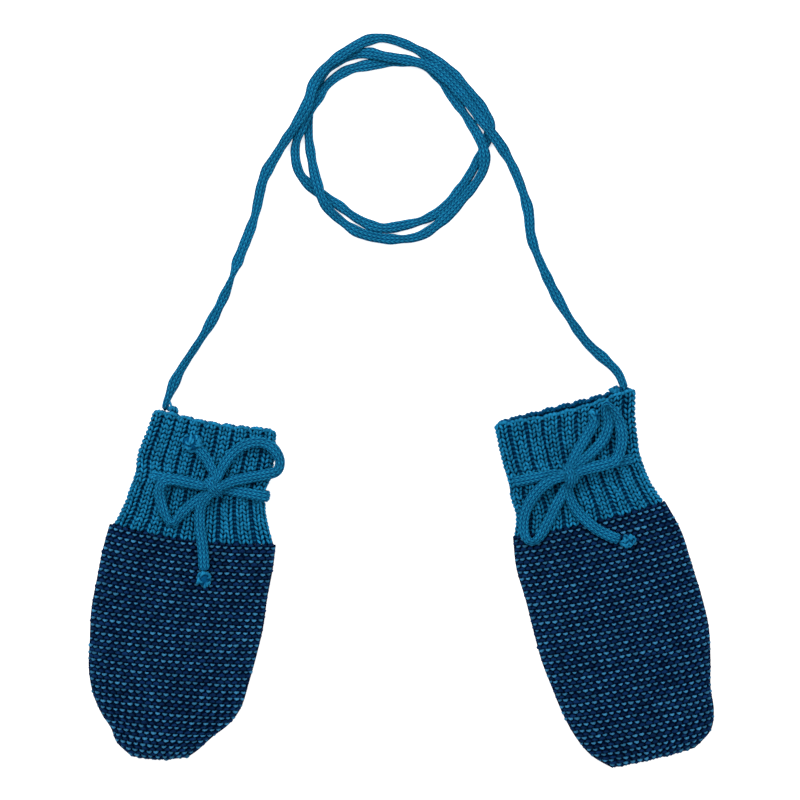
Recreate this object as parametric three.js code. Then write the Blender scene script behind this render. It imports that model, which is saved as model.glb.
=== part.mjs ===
// A pair of hand-knitted baby mittens without thumbs, laid flat and joined by one long neck cord.
// Each mitten has a knitted hand, a ribbed cuff and a drawstring tied in a bow at the wrist.
// Units are millimetres, +Z is up and the mittens lie on z = 0.

import * as THREE from 'three';

// Where each mitten lies: the middle of its tip, and how far it leans from +Y, in degrees
const LEFT_TIP = new THREE.Vector2( - 88.1, - 68.3 );
const LEFT_LEAN = 8.3;
const RIGHT_TIP = new THREE.Vector2( 93.8, - 69.4 );
const RIGHT_LEAN = - 14.5;

// Thickness of the knit and how the flattened layers lie
const SEAM_GAP = 0.3;
const HAND_WALL = 2.8;
const HAND_CROWN = 7.8;
const CUFF_WALL = 2.5;
const CUFF_CROWN = 7.5;
const SIDE_HEIGHT = 3.4;
const TIP_ROUNDING = 9;
const TIP_SEAM_ROWS = 0.7;
const CROWN_SQUARENESS = 4;
const CURL_SQUARENESS = 8;

// Ribs of the cuff
const RIBS = 9;
const RIB_HEIGHT = 0.9;
const RIB_CREST_START = 0.2;
const RIB_CREST_END = 0.8;

// The drawstring gathers the cuff: the back layer lifts over it and all layers thin there
const STRING = 3.2;
const STRING_LIFT = 0.2;
const STRING_CLEARANCE = 0.5;
const GATHER_WALL = 1.9;
const GATHER_RIB = 0.4;
const GATHER_CROWN = 8.0;
const GATHER_SIDE_HEIGHT = 5.7;
const GATHER_FLAT = 1.5;
const GATHER_REACH = 5.2;
const WRIST_SQUARENESS = 6;
const WRIST_STEPS = 30;
const KNOT_CLEARANCE = 0.4;

// The neck cord, and how finely cords and knots are made
const NECK_CORD = 3.4;
const NECK_STEPS = 84;
const CORD_SIDES = 8;
const LOOP_STEPS = 20;
const TAIL_STEPS_PER_POINT = 2;
const ARC_DIVISIONS_PER_POINT = 20;
const LUMP_SIDES = 10;
const LUMP_RINGS = 7;

// Fineness of the panels
const HAND_COLUMNS = 14;
const HAND_ROWS = 12;
const BACK_COLUMNS = 12;
const CUFF_STEPS = [ 0, 0.09, 0.18, 0.27, 0.36, 0.43, 0.47, 0.53, 0.57, 0.64, 0.73, 0.82, 0.91, 1 ];

// Each row of a panel runs from its left edge to its right edge, given as [ across, along ] from
// the tip, and sags by so much in its middle. Rows go from the tip to the mouth.
const LEFT_HAND = [
	{ left: [ - 12.5, - 1.2 ], right: [ 8.0, 1.4 ], sag: - 1.2 },
	{ left: [ - 18.8, 2.8 ], right: [ 11.6, 4.4 ], sag: - 0.8 },
	{ left: [ - 21.4, 7.5 ], right: [ 16.2, 9.8 ], sag: - 0.6 },
	{ left: [ - 25.6, 12.5 ], right: [ 21.6, 15.3 ], sag: - 0.4 },
	{ left: [ - 29.6, 19.5 ], right: [ 25.3, 22.4 ], sag: - 0.4 },
	{ left: [ - 32.6, 28.6 ], right: [ 26.8, 32.0 ], sag: - 0.6 },
	{ left: [ - 34.5, 38.9 ], right: [ 28.2, 42.8 ], sag: - 0.8 },
	{ left: [ - 35.6, 50.4 ], right: [ 29.1, 53.4 ], sag: - 1.1 },
	{ left: [ - 35.2, 62.3 ], right: [ 29.0, 64.5 ], sag: - 1.5 },
	{ left: [ - 34.6, 73.6 ], right: [ 29.5, 75.2 ], sag: - 1.9 },
	{ left: [ - 33.4, 83.4 ], right: [ 29.3, 84.6 ], sag: - 2.2 },
];
const RIGHT_HAND = [
	{ left: [ - 14.0, 1.2 ], right: [ 17.0, 0.8 ], sag: - 0.4 },
	{ left: [ - 20.5, 7.0 ], right: [ 24.2, 5.4 ], sag: - 0.4 },
	{ left: [ - 24.2, 14.4 ], right: [ 27.2, 12.0 ], sag: - 0.4 },
	{ left: [ - 27.0, 24.0 ], right: [ 29.0, 20.5 ], sag: - 0.4 },
	{ left: [ - 28.5, 34.5 ], right: [ 31.8, 31.5 ], sag: - 0.5 },
	{ left: [ - 29.8, 45.5 ], right: [ 34.0, 42.6 ], sag: - 0.6 },
	{ left: [ - 30.0, 57.3 ], right: [ 34.3, 54.6 ], sag: - 0.8 },
	{ left: [ - 29.9, 69.5 ], right: [ 33.7, 67.2 ], sag: - 1.0 },
	{ left: [ - 30.3, 82.2 ], right: [ 33.0, 80.1 ], sag: - 1.2 },
	{ left: [ - 28.6, 93.6 ], right: [ 29.9, 92.3 ], sag: - 1.3 },
];

// The fourth row of a cuff lies under the drawstring
const LEFT_CUFF = [
	{ left: [ - 31.6, 83.4 + SEAM_GAP ], right: [ 28.2, 84.6 + SEAM_GAP ], sag: - 2.2 },
	{ left: [ - 29.2, 89.8 ], right: [ 25.6, 90.8 ], sag: - 1.9 },
	{ left: [ - 27.4, 97.2 ], right: [ 23.4, 97.2 ], sag: - 1.0 },
	{ left: [ - 25.6, 103.5 ], right: [ 22.6, 103.3 ], sag: 0 },
	{ left: [ - 25.8, 110.4 ], right: [ 23.8, 110.0 ], sag: - 0.6 },
	{ left: [ - 24.5, 119.2 ], right: [ 23.8, 118.8 ], sag: - 1.2 },
	{ left: [ - 22.6, 128.6 ], right: [ 23.1, 127.3 ], sag: - 2.0 },
];
const RIGHT_CUFF = [
	{ left: [ - 27.9, 93.6 + SEAM_GAP ], right: [ 28.9, 92.3 + SEAM_GAP ], sag: - 1.3 },
	{ left: [ - 25.2, 101.2 ], right: [ 26.4, 99.6 ], sag: - 0.8 },
	{ left: [ - 24.7, 107.6 ], right: [ 25.2, 105.4 ], sag: - 0.4 },
	{ left: [ - 24.4, 114.0 ], right: [ 24.8, 111.5 ], sag: 0 },
	{ left: [ - 25.2, 120.6 ], right: [ 25.4, 118.4 ], sag: - 0.4 },
	{ left: [ - 25.0, 128.4 ], right: [ 26.7, 127.4 ], sag: - 1.2 },
	{ left: [ - 24.5, 136.8 ], right: [ 28.9, 136.8 ], sag: - 2.6 },
];

// The right mouth stands a little open: its back edge shows behind the front one, which lifts
const RIGHT_BACK_MOUTH_SAG = 1.0;
const RIGHT_MOUTH_LIFT = 1.2;
const MOUTH_LIFT_START = 0.6;

// Each bow, in its mitten's own frame: [ across, along, height ]
const LEFT_BOW = {
	knot: { centre: [ 3.0, 102.8, 12.2 ], radii: [ 4.0, 3.6, 3.3 ] },
	loops: {
		right: [
			[ 6.2, 106.3, 12.4 ], [ 7.3, 111.5, 11.4 ], [ 9.6, 117.2, 10.6 ], [ 14.0, 121.1, 10.4 ],
			[ 19.6, 121.8, 9.9 ], [ 24.8, 119.8, 9.2 ], [ 27.4, 115.6, 8.6 ], [ 25.6, 111.2, 8.9 ],
			[ 20.3, 109.2, 9.9 ], [ 14.6, 108.2, 11.0 ], [ 10.6, 105.8, 13.2 ], [ 8.0, 103.8, 14.2 ],
		],
		left: [
			[ - 1.3, 104.0, 14.2 ], [ - 5.0, 104.1, 14.3 ], [ - 10.0, 104.3, 14.2 ], [ - 14.0, 103.0, 14.0 ],
			[ - 15.8, 99.2, 12.2 ], [ - 15.1, 94.2, 10.5 ], [ - 13.0, 90.0, 10.2 ], [ - 10.4, 87.4, 10.2 ],
			[ - 7.8, 88.9, 10.3 ], [ - 5.3, 92.6, 10.5 ], [ - 2.8, 96.8, 11.4 ], [ - 1.1, 99.7, 12.4 ],
		],
	},
	tails: {
		short: [ [ 2.6, 107.0, 11.6 ], [ 1.6, 110.2, 10.5 ], [ - 0.6, 113.8, 10.4 ], [ - 3.0, 116.3, 10.4 ] ],
		long: [
			[ 3.2, 98.5, 12.0 ], [ 1.8, 94.6, 10.8 ], [ 0.6, 90.2, 10.4 ], [ 1.3, 84.0, 10.2 ],
			[ 2.5, 77.6, 10.0 ], [ 3.9, 71.4, 9.9 ],
		],
	},
	tailKnots: {
		short: { centre: [ - 6.2, 118.2, 10.9 ], radii: [ 2.9, 2.6, 2.2 ] },
		long: { centre: [ 4.7, 67.9, 10.2 ], radii: [ 2.7, 2.9, 2.0 ] },
	},
};
const RIGHT_BOW = {
	knot: { centre: [ - 2.4, 111.6, 12.2 ], radii: [ 4.0, 3.6, 3.3 ] },
	loops: {
		upper: [
			[ 1.4, 115.3, 12.8 ], [ 4.4, 116.9, 11.4 ], [ 8.8, 118.9, 10.7 ], [ 12.3, 121.4, 10.7 ],
			[ 14.6, 125.0, 11.1 ], [ 15.4, 129.2, 11.8 ], [ 17.2, 132.0, 12.1 ], [ 19.4, 130.2, 11.6 ],
			[ 20.4, 126.2, 11.0 ], [ 20.4, 122.0, 10.9 ], [ 19.0, 117.6, 11.6 ], [ 15.8, 114.4, 13.4 ],
			[ 10.6, 112.8, 14.3 ], [ 5.8, 112.4, 14.3 ], [ 2.7, 112.2, 14.1 ],
		],
		lower: [
			[ - 6.5, 111.8, 14.0 ], [ - 11.0, 111.4, 14.2 ], [ - 15.6, 110.2, 13.4 ], [ - 19.6, 106.9, 11.4 ],
			[ - 22.6, 101.6, 9.9 ], [ - 23.8, 96.2, 9.6 ], [ - 23.6, 92.2, 9.5 ], [ - 21.4, 91.0, 9.7 ],
			[ - 18.6, 93.6, 10.0 ], [ - 15.2, 98.2, 10.3 ], [ - 11.2, 102.7, 10.6 ], [ - 6.8, 107.5, 11.6 ],
		],
	},
	tails: {
		short: [
			[ - 1.8, 116.3, 12.2 ], [ 0.4, 118.8, 11.0 ], [ 3.2, 121.6, 10.7 ], [ 5.9, 124.3, 10.9 ],
			[ 8.0, 126.8, 11.2 ],
		],
		long: [
			[ - 3.1, 107.3, 12.0 ], [ - 4.0, 103.8, 10.9 ], [ - 3.4, 99.0, 10.4 ], [ - 0.6, 94.0, 10.3 ],
			[ 3.4, 89.2, 10.2 ], [ 7.2, 85.2, 10.2 ], [ 10.2, 83.2, 10.2 ],
		],
	},
	tailKnots: {
		short: { centre: [ 10.4, 129.7, 11.4 ], radii: [ 2.2, 2.5, 1.9 ] },
		long: { centre: [ 12.6, 82.2, 10.4 ], radii: [ 2.3, 2.2, 2.0 ] },
	},
};

// The few stitches that hold the neck cord stand on the mouth beside it
const LEFT_NECK_STITCH = { centre: [ - 14.6, 128.8, 5.2 ], radii: [ 2.3, 1.2, 2.0 ] };
const RIGHT_NECK_STITCH = { centre: [ 21.3, 137.2, 5.2 ], radii: [ 2.6, 1.4, 2.0 ] };

// The neck cord leaves the left cuff, turns two and a half times and ends at the right cuff.
// It rises in low humps where it passes over itself.
const NECK_ROUTE = [
	[ - 88.6, 61.7, 4.0 ], [ - 87.4, 66.5, 3.0 ], [ - 83.0, 76.5, 1.8 ], [ - 73.1, 91.9, 1.8 ],
	[ - 65.6, 106.5, 1.8 ], [ - 60.8, 119.2, 1.8 ], [ - 55.1, 134.2, 1.8 ], [ - 51.6, 149.0, 1.8 ],
	[ - 46.2, 158.8, 2.6 ], [ - 39.8, 168.3, 7.2 ], [ - 34.9, 176.4, 10.0 ], [ - 32.8, 183.4, 8.8 ],
	[ - 29.3, 189.3, 6.8 ], [ - 24.3, 193.9, 6.0 ], [ - 18.0, 198.1, 5.5 ], [ - 12.0, 201.4, 2.6 ],
	[ - 5.2, 202.2, 1.8 ], [ 3.0, 199.6, 1.8 ], [ 11.2, 195.2, 1.8 ], [ 19.0, 189.9, 1.8 ],
	[ 26.1, 182.3, 1.8 ], [ 31.8, 174.6, 1.8 ], [ 33.9, 169.5, 1.8 ], [ 32.9, 163.9, 1.8 ],
	[ 29.8, 157.2, 1.8 ], [ 26.0, 150.1, 1.8 ], [ 19.6, 141.2, 1.8 ], [ 11.3, 134.7, 1.8 ],
	[ 1.5, 131.6, 1.8 ], [ - 7.5, 130.6, 1.8 ], [ - 15.8, 133.9, 1.8 ], [ - 23.6, 139.5, 1.8 ],
	[ - 32.0, 145.0, 1.8 ], [ - 37.8, 151.1, 1.8 ], [ - 39.6, 158.6, 1.9 ], [ - 38.4, 165.4, 3.6 ],
	[ - 35.0, 173.0, 5.6 ], [ - 30.5, 179.9, 4.8 ], [ - 26.4, 185.7, 1.9 ], [ - 19.3, 190.3, 1.8 ],
	[ - 9.8, 192.4, 1.8 ], [ 0, 193.4, 1.8 ], [ 8.4, 192.4, 1.8 ], [ 15.0, 187.4, 1.8 ],
	[ 19.6, 180.4, 1.8 ], [ 25.2, 172.3, 2.2 ], [ 30.0, 163.9, 5.4 ], [ 31.9, 157.1, 5.8 ],
	[ 30.7, 150.8, 4.4 ], [ 24.6, 142.3, 4.4 ], [ 16.9, 134.2, 3.0 ], [ 7.5, 127.6, 1.8 ],
	[ - 3.8, 126.4, 1.8 ], [ - 15.0, 128.7, 1.8 ], [ - 23.1, 134.0, 1.9 ], [ - 28.5, 139.5, 5.2 ],
	[ - 31.1, 146.6, 5.6 ], [ - 32.9, 154.1, 2.4 ], [ - 34.2, 162.4, 1.8 ], [ - 34.7, 169.9, 1.8 ],
	[ - 34.6, 177.0, 1.8 ], [ - 31.8, 184.5, 1.8 ], [ - 26.8, 191.0, 1.8 ], [ - 20.2, 195.2, 1.8 ],
	[ - 12.8, 196.5, 2.6 ], [ - 5.2, 194.9, 5.4 ], [ 3.0, 193.6, 5.6 ], [ 10.5, 191.6, 5.6 ],
	[ 16.5, 187.5, 5.5 ], [ 22.5, 181.5, 5.2 ], [ 28.5, 173.6, 5.0 ], [ 33.7, 167.0, 5.9 ],
	[ 38.6, 160.5, 3.4 ], [ 43.9, 150.8, 1.8 ], [ 48.2, 138.0, 1.8 ], [ 49.7, 126.4, 1.8 ],
	[ 54.9, 113.2, 1.8 ], [ 61.7, 100.1, 1.8 ], [ 70.0, 87.9, 1.8 ], [ 77.9, 80.4, 1.9 ],
	[ 82.2, 75.7, 3.2 ], [ 84.6, 69.7, 5.1 ],
];

// Finishes
const NAVY = { color: 0x10293f, roughness: 0.95, metalness: 0 };
const TEAL = { color: 0x0f567c, roughness: 0.95, metalness: 0 };
const CORD_TEAL = { color: 0x17658c, roughness: 0.9, metalness: 0 };

function piece( name, geometry, finish ) {

	const mesh = new THREE.Mesh( geometry, new THREE.MeshStandardMaterial( finish ) );
	mesh.name = name;
	return mesh;

}

// The flat cloth between two edges, read at s from left to right and t from the first row to the last
function cloth( rows ) {

	const edge = side => new THREE.CatmullRomCurve3(
		rows.map( row => new THREE.Vector3( ...row[ side ], row.sag ) ), false, 'catmullrom', 0.5 );
	const left = edge( 'left' );
	const right = edge( 'right' );
	return ( s, t ) => {

		const from = left.getPoint( t );
		const to = right.getPoint( t );
		const point = new THREE.Vector2( from.x, from.y ).lerp( to, s );
		point.y += from.z * 4 * s * ( 1 - s );
		return point;

	};

}

// A closed layer of cloth between a grid of top points and a grid of bottom points
function layer( top, bottom, columns, rows ) {

	const vertices = [];
	for ( const grid of [ top, bottom ] ) {

		for ( let j = 0; j <= rows; j ++ ) {

			for ( let i = 0; i <= columns; i ++ ) vertices.push( ...grid( i, j ) );

		}

	}

	const count = ( columns + 1 ) * ( rows + 1 );
	const above = ( i, j ) => j * ( columns + 1 ) + i;
	const below = ( i, j ) => count + above( i, j );
	const triangles = [];
	const quad = ( a, b, c, d ) => triangles.push( a, b, c, a, c, d );
	for ( let j = 0; j < rows; j ++ ) {

		for ( let i = 0; i < columns; i ++ ) {

			quad( above( i, j ), above( i + 1, j ), above( i + 1, j + 1 ), above( i, j + 1 ) );
			quad( below( i, j ), below( i, j + 1 ), below( i + 1, j + 1 ), below( i + 1, j ) );

		}

	}

	for ( let i = 0; i < columns; i ++ ) {

		quad( below( i, 0 ), below( i + 1, 0 ), above( i + 1, 0 ), above( i, 0 ) );
		quad( above( i, rows ), above( i + 1, rows ), below( i + 1, rows ), below( i, rows ) );

	}

	for ( let j = 0; j < rows; j ++ ) {

		quad( below( 0, j ), above( 0, j ), above( 0, j + 1 ), below( 0, j + 1 ) );
		quad( below( columns, j ), below( columns, j + 1 ), above( columns, j + 1 ), above( columns, j ) );

	}

	const geometry = new THREE.BufferGeometry();
	geometry.setAttribute( 'position', new THREE.Float32BufferAttribute( vertices, 3 ) );
	geometry.setIndex( triangles );
	geometry.computeVertexNormals();
	return geometry;

}

// How far a layer has risen from its side to its middle, at q from -1 to 1 across the panel
function crownShare( q ) {

	return Math.sqrt( Math.max( 0, 1 - Math.abs( q ) ** CROWN_SQUARENESS ) );

}

// How far the layer on the table has curled up towards its side
function curlShare( q ) {

	return 1 - Math.sqrt( Math.max( 0, 1 - Math.abs( q ) ** CURL_SQUARENESS ) );

}

// The two layers of a hand, closed round the tip and open at the wrist
function handPanels( prefix, rows ) {

	const flat = cloth( rows );
	const tipInset = TIP_SEAM_ROWS / ( rows.length - 1 );
	const sideways = i => ( 1 - Math.cos( Math.PI * i / HAND_COLUMNS ) ) / 2;
	const lengthways = j => 1 - Math.cos( Math.PI * j / HAND_ROWS / 2 );

	const place = ( i, j, inside ) => {

		let t = lengthways( j );
		let s = sideways( i );
		const tipDistance = flat( s, t ).y - flat( s, 0 ).y;
		const tipShare = Math.sqrt( 1 - ( 1 - Math.min( tipDistance / TIP_ROUNDING, 1 ) ) ** 2 );
		const q = 2 * s - 1;
		if ( inside ) {

			t = tipInset + ( 1 - tipInset ) * t;
			const inset = HAND_WALL / ( flat( 1, t ).x - flat( 0, t ).x );
			s = inset + ( 1 - 2 * inset ) * s;

		}

		return { point: flat( s, t ), q, tipShare };

	};

	const front = inside => ( i, j ) => {

		const { point, q, tipShare } = place( i, j, inside );
		const side = SIDE_HEIGHT + SEAM_GAP / 2;
		const crown = inside ? HAND_CROWN - HAND_WALL : HAND_CROWN;
		return [ point.x, point.y, side + ( crown - side ) * crownShare( q ) * tipShare ];

	};

	const back = inside => ( i, j ) => {

		const { point, q, tipShare } = place( i, j, inside );
		const side = SIDE_HEIGHT - SEAM_GAP / 2;
		const bed = inside ? HAND_WALL : 0;
		return [ point.x, point.y, side + ( bed - side ) * ( 1 - curlShare( q ) ) * tipShare ];

	};

	return [
		piece( prefix + '_hand_front', layer( front( false ), front( true ), HAND_COLUMNS, HAND_ROWS ), NAVY ),
		piece( prefix + '_hand_back', layer( back( true ), back( false ), HAND_COLUMNS, HAND_ROWS ), NAVY ),
	];

}

// The two layers of a cuff, open at both ends, ribbed on the front and gathered by the drawstring
function cuffPanels( prefix, rows, backMouthSag, mouthLift ) {

	const wrist = ( rows.length - 1 ) / 2;
	const wristAlong = ( rows[ wrist ].left[ 1 ] + rows[ wrist ].right[ 1 ] ) / 2;
	const backRows = rows.map( ( row, index ) =>
		( { ...row, sag: index === rows.length - 1 ? backMouthSag : row.sag } ) );
	const frontFlat = cloth( rows );
	const backFlat = cloth( backRows );
	const mix = THREE.MathUtils.lerp;
	const steps = CUFF_STEPS.length - 1;

	const gatherAt = t => {

		const middle = frontFlat( 0.5, t );
		const distance = Math.abs( middle.y - wristAlong );
		return 1 - THREE.MathUtils.smoothstep( distance, GATHER_FLAT, GATHER_REACH );

	};

	const place = ( flat, s, t, inside ) => {

		const gather = gatherAt( t );
		const wall = mix( CUFF_WALL, GATHER_WALL, gather );
		const inset = inside ? wall / ( flat( 1, t ).x - flat( 0, t ).x ) : 0;
		return { point: flat( inset + ( 1 - 2 * inset ) * s, t ), q: 2 * s - 1, gather, wall };

	};

	const ribSide = [ 0, RIB_CREST_START, RIB_CREST_END ];
	const frontColumns = RIBS * ribSide.length;
	const ribbedSide = i => ( Math.floor( i / ribSide.length ) + ribSide[ i % ribSide.length ] ) / RIBS;

	const front = inside => ( i, j ) => {

		const t = CUFF_STEPS[ j ];
		const { point, q, gather, wall } = place( frontFlat, ribbedSide( i ), t, inside );
		const side = mix( SIDE_HEIGHT, GATHER_SIDE_HEIGHT, gather ) + SEAM_GAP / 2;
		const open = mouthLift * THREE.MathUtils.smoothstep( t, MOUTH_LIFT_START, 1 );
		const crown = mix( CUFF_CROWN, GATHER_CROWN, gather ) + open - ( inside ? wall : 0 );
		const onCrest = ! inside && i % ribSide.length > 0;
		const rib = onCrest ? mix( RIB_HEIGHT, GATHER_RIB, gather ) : 0;
		return [ point.x, point.y, side + ( crown - side + rib ) * crownShare( q ) ];

	};

	const plainSide = i => ( 1 - Math.cos( Math.PI * i / BACK_COLUMNS ) ) / 2;

	const back = inside => ( i, j ) => {

		const { point, q, gather, wall } = place( backFlat, plainSide( i ), CUFF_STEPS[ j ], inside );
		const side = mix( SIDE_HEIGHT, GATHER_SIDE_HEIGHT, gather ) - SEAM_GAP / 2;
		const lift = ( STRING_LIFT + STRING + STRING_CLEARANCE ) * gather;
		const bed = lift + ( inside ? wall : 0 );
		return [ point.x, point.y, side + ( bed - side ) * ( 1 - curlShare( q ) ) ];

	};

	return [
		piece( prefix + '_cuff_front', layer( front( false ), front( true ), frontColumns, steps ), TEAL ),
		piece( prefix + '_cuff_back', layer( back( true ), back( false ), BACK_COLUMNS, steps ), TEAL ),
	];

}

// A round cord along a route of points
function cord( name, route, diameter, steps ) {

	const points = route.map( point => new THREE.Vector3( ...point ) );
	const path = new THREE.CatmullRomCurve3( points, false, 'catmullrom', 0.5 );
	path.arcLengthDivisions = ARC_DIVISIONS_PER_POINT * route.length;
	const section = new THREE.Shape();
	for ( let side = 0; side < CORD_SIDES; side ++ ) {

		const angle = 2 * Math.PI * side / CORD_SIDES;
		const x = Math.cos( angle ) * diameter / 2;
		const y = Math.sin( angle ) * diameter / 2;
		if ( side === 0 ) section.moveTo( x, y );
		else section.lineTo( x, y );

	}

	const geometry = new THREE.ExtrudeGeometry( section, { steps, extrudePath: path, curveSegments: 1 } );
	return piece( name, geometry, CORD_TEAL );

}

// A small rounded lump of yarn: a knot, a tail's end or a few stitches
function lump( name, shape ) {

	const geometry = new THREE.SphereGeometry( 1, LUMP_SIDES, LUMP_RINGS );
	geometry.rotateX( Math.PI / 2 );
	geometry.scale( ...shape.radii );
	geometry.translate( ...shape.centre );
	return piece( name, geometry, CORD_TEAL );

}

// The drawstring runs from the knot round the gathered wrist and back to the knot
function wristString( prefix, rows, knot ) {

	const wrist = rows[ ( rows.length - 1 ) / 2 ];
	const clearance = STRING_CLEARANCE + STRING / 2;
	const halfWidth = ( wrist.right[ 0 ] - wrist.left[ 0 ] ) / 2 + clearance;
	const middle = ( wrist.right[ 0 ] + wrist.left[ 0 ] ) / 2;
	const top = GATHER_CROWN + GATHER_RIB + clearance;
	const bottom = STRING_LIFT + STRING / 2;
	const halfHeight = ( top - bottom ) / 2;
	const slope = ( wrist.right[ 1 ] - wrist.left[ 1 ] ) / ( wrist.right[ 0 ] - wrist.left[ 0 ] );
	const knotReach = knot.radii[ 0 ] + KNOT_CLEARANCE;

	const angleAbove = across => {

		const share = ( across - middle ) / halfWidth;
		return Math.acos( Math.sign( share ) * Math.abs( share ) ** ( WRIST_SQUARENESS / 2 ) );

	};

	const start = angleAbove( knot.centre[ 0 ] + knotReach );
	const end = angleAbove( knot.centre[ 0 ] - knotReach ) - 2 * Math.PI;
	const route = [];
	for ( let k = 0; k <= WRIST_STEPS; k ++ ) {

		const angle = start + ( end - start ) * k / WRIST_STEPS;
		const soft = value => Math.sign( value ) * Math.abs( value ) ** ( 2 / WRIST_SQUARENESS );
		const across = middle + halfWidth * soft( Math.cos( angle ) );
		const along = wrist.left[ 1 ] + ( across - wrist.left[ 0 ] ) * slope;
		route.push( [ across, along, bottom + halfHeight * ( 1 + soft( Math.sin( angle ) ) ) ] );

	}

	return cord( prefix + '_wrist_string', route, STRING, WRIST_STEPS );

}

// The bow: its knot, two loops, and two tails that end in small knots
function bow( prefix, shape ) {

	const pieces = [ lump( prefix + '_bow_knot', shape.knot ) ];
	for ( const [ side, route ] of Object.entries( shape.loops ) ) {

		pieces.push( cord( prefix + '_bow_loop_' + side, route, STRING, LOOP_STEPS ) );

	}

	for ( const [ side, route ] of Object.entries( shape.tails ) ) {

		pieces.push( cord( prefix + '_tail_' + side, route, STRING, TAIL_STEPS_PER_POINT * route.length ) );
		pieces.push( lump( prefix + '_tail_knot_' + side, shape.tailKnots[ side ] ) );

	}

	return pieces;

}

// One mitten, built along +Y from its tip and turned to where it lies
function mitten( prefix, tip, lean, panels, trims ) {

	const group = new THREE.Group();
	group.position.set( tip.x, tip.y, 0 );
	group.rotation.z = - THREE.MathUtils.degToRad( lean );
	group.add( ...panels, ...trims );
	return group;

}

const leftPanels = [
	...handPanels( 'left', LEFT_HAND ),
	...cuffPanels( 'left', LEFT_CUFF, LEFT_CUFF.at( - 1 ).sag, 0 ),
];
const leftTrims = [
	wristString( 'left', LEFT_CUFF, LEFT_BOW.knot ),
	...bow( 'left', LEFT_BOW ),
	lump( 'left_neck_stitch', LEFT_NECK_STITCH ),
];
const rightPanels = [
	...handPanels( 'right', RIGHT_HAND ),
	...cuffPanels( 'right', RIGHT_CUFF, RIGHT_BACK_MOUTH_SAG, RIGHT_MOUTH_LIFT ),
];
const rightTrims = [
	wristString( 'right', RIGHT_CUFF, RIGHT_BOW.knot ),
	...bow( 'right', RIGHT_BOW ),
	lump( 'right_neck_stitch', RIGHT_NECK_STITCH ),
];

const mittens = new THREE.Group();
mittens.add(
	mitten( 'left', LEFT_TIP, LEFT_LEAN, leftPanels, leftTrims ),
	mitten( 'right', RIGHT_TIP, RIGHT_LEAN, rightPanels, rightTrims ),
	cord( 'neck_cord', NECK_ROUTE, NECK_CORD, NECK_STEPS ),
);

// The origin is under the middle of the two mittens
mittens.updateMatrixWorld( true );
const extent = new THREE.Box3();
for ( const panel of [ ...leftPanels, ...rightPanels ] ) extent.expandByObject( panel, true );
const centre = extent.getCenter( new THREE.Vector3() );
mittens.position.set( - centre.x, - centre.y, - extent.min.z );

export default mittens;
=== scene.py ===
import math

import bpy
import numpy as np
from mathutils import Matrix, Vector


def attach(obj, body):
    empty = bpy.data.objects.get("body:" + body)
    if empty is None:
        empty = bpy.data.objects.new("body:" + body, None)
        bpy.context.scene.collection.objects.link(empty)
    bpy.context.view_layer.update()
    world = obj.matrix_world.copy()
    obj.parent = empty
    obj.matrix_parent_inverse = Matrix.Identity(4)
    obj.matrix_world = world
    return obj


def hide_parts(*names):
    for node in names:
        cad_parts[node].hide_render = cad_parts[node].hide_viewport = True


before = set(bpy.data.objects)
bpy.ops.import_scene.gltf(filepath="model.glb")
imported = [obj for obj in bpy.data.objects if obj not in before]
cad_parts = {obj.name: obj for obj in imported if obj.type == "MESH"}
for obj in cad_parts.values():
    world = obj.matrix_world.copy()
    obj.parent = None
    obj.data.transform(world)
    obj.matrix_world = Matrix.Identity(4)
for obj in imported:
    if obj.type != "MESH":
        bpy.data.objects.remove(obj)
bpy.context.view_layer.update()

# The camera hangs over the middle of the pair and looks straight down through a long lens, as the
# photo was taken. The photo is 800 pixels square, and each pixel is 0.375 mm of the cloth's top.
MM = 0.001
PHOTO_SIDE = 800 * 0.375 * MM
PHOTO_MIDDLE = (-0.24 * MM, 66.36 * MM)
CLOTH_TOP = 6 * MM
camera_data = bpy.data.cameras.new("camera")
camera_data.lens = 85
camera_data.sensor_width = 36
camera = bpy.data.objects.new("camera", camera_data)
bpy.context.scene.collection.objects.link(camera)
camera.location = (*PHOTO_MIDDLE, CLOTH_TOP + PHOTO_SIDE * camera_data.lens / camera_data.sensor_width)
bpy.context.scene.camera = camera

# The neck cord is one fine knitted tube of teal wool, pressed flat, 3.9 mm wide and 0.77 m long.
# It is sewn to the left cuff's corner, turns two and a half times, twists here and there, and
# ends at the right cuff's corner. Its route is given in metres and its turns in degrees.
PAIR_SHIFT = np.array((-0.24, 0.73, 0)) * MM
# The soft waves in its width: each one's share of the width, its length, and its start in radians
NECK_UNEVENNESS = ((0.09, 31 * MM, 0.4), (0.07, 12.7 * MM, 2.1), (0.04, 7.3 * MM, 4.0))
NECK_CORD_WIDTH = 3.9 * MM
CORD_THICKNESS = 2.2 * MM
SOLID_CORD_THICKNESS = 3.4 * MM
CORD_WALES = 7
CORD_COURSE = 1.75 * MM
CORD_RELIEF = 0.3 * MM
# The tube's points round one wale: how far each stands out, which also sets painted shade in the grooves, and
# how far it is from the wale's middle
WALE_RELIEF = (0.0, 1.0, 0.7, 1.0)
WALE_FOLD = (1.0, 0.5, 0.0, 0.5)
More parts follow.
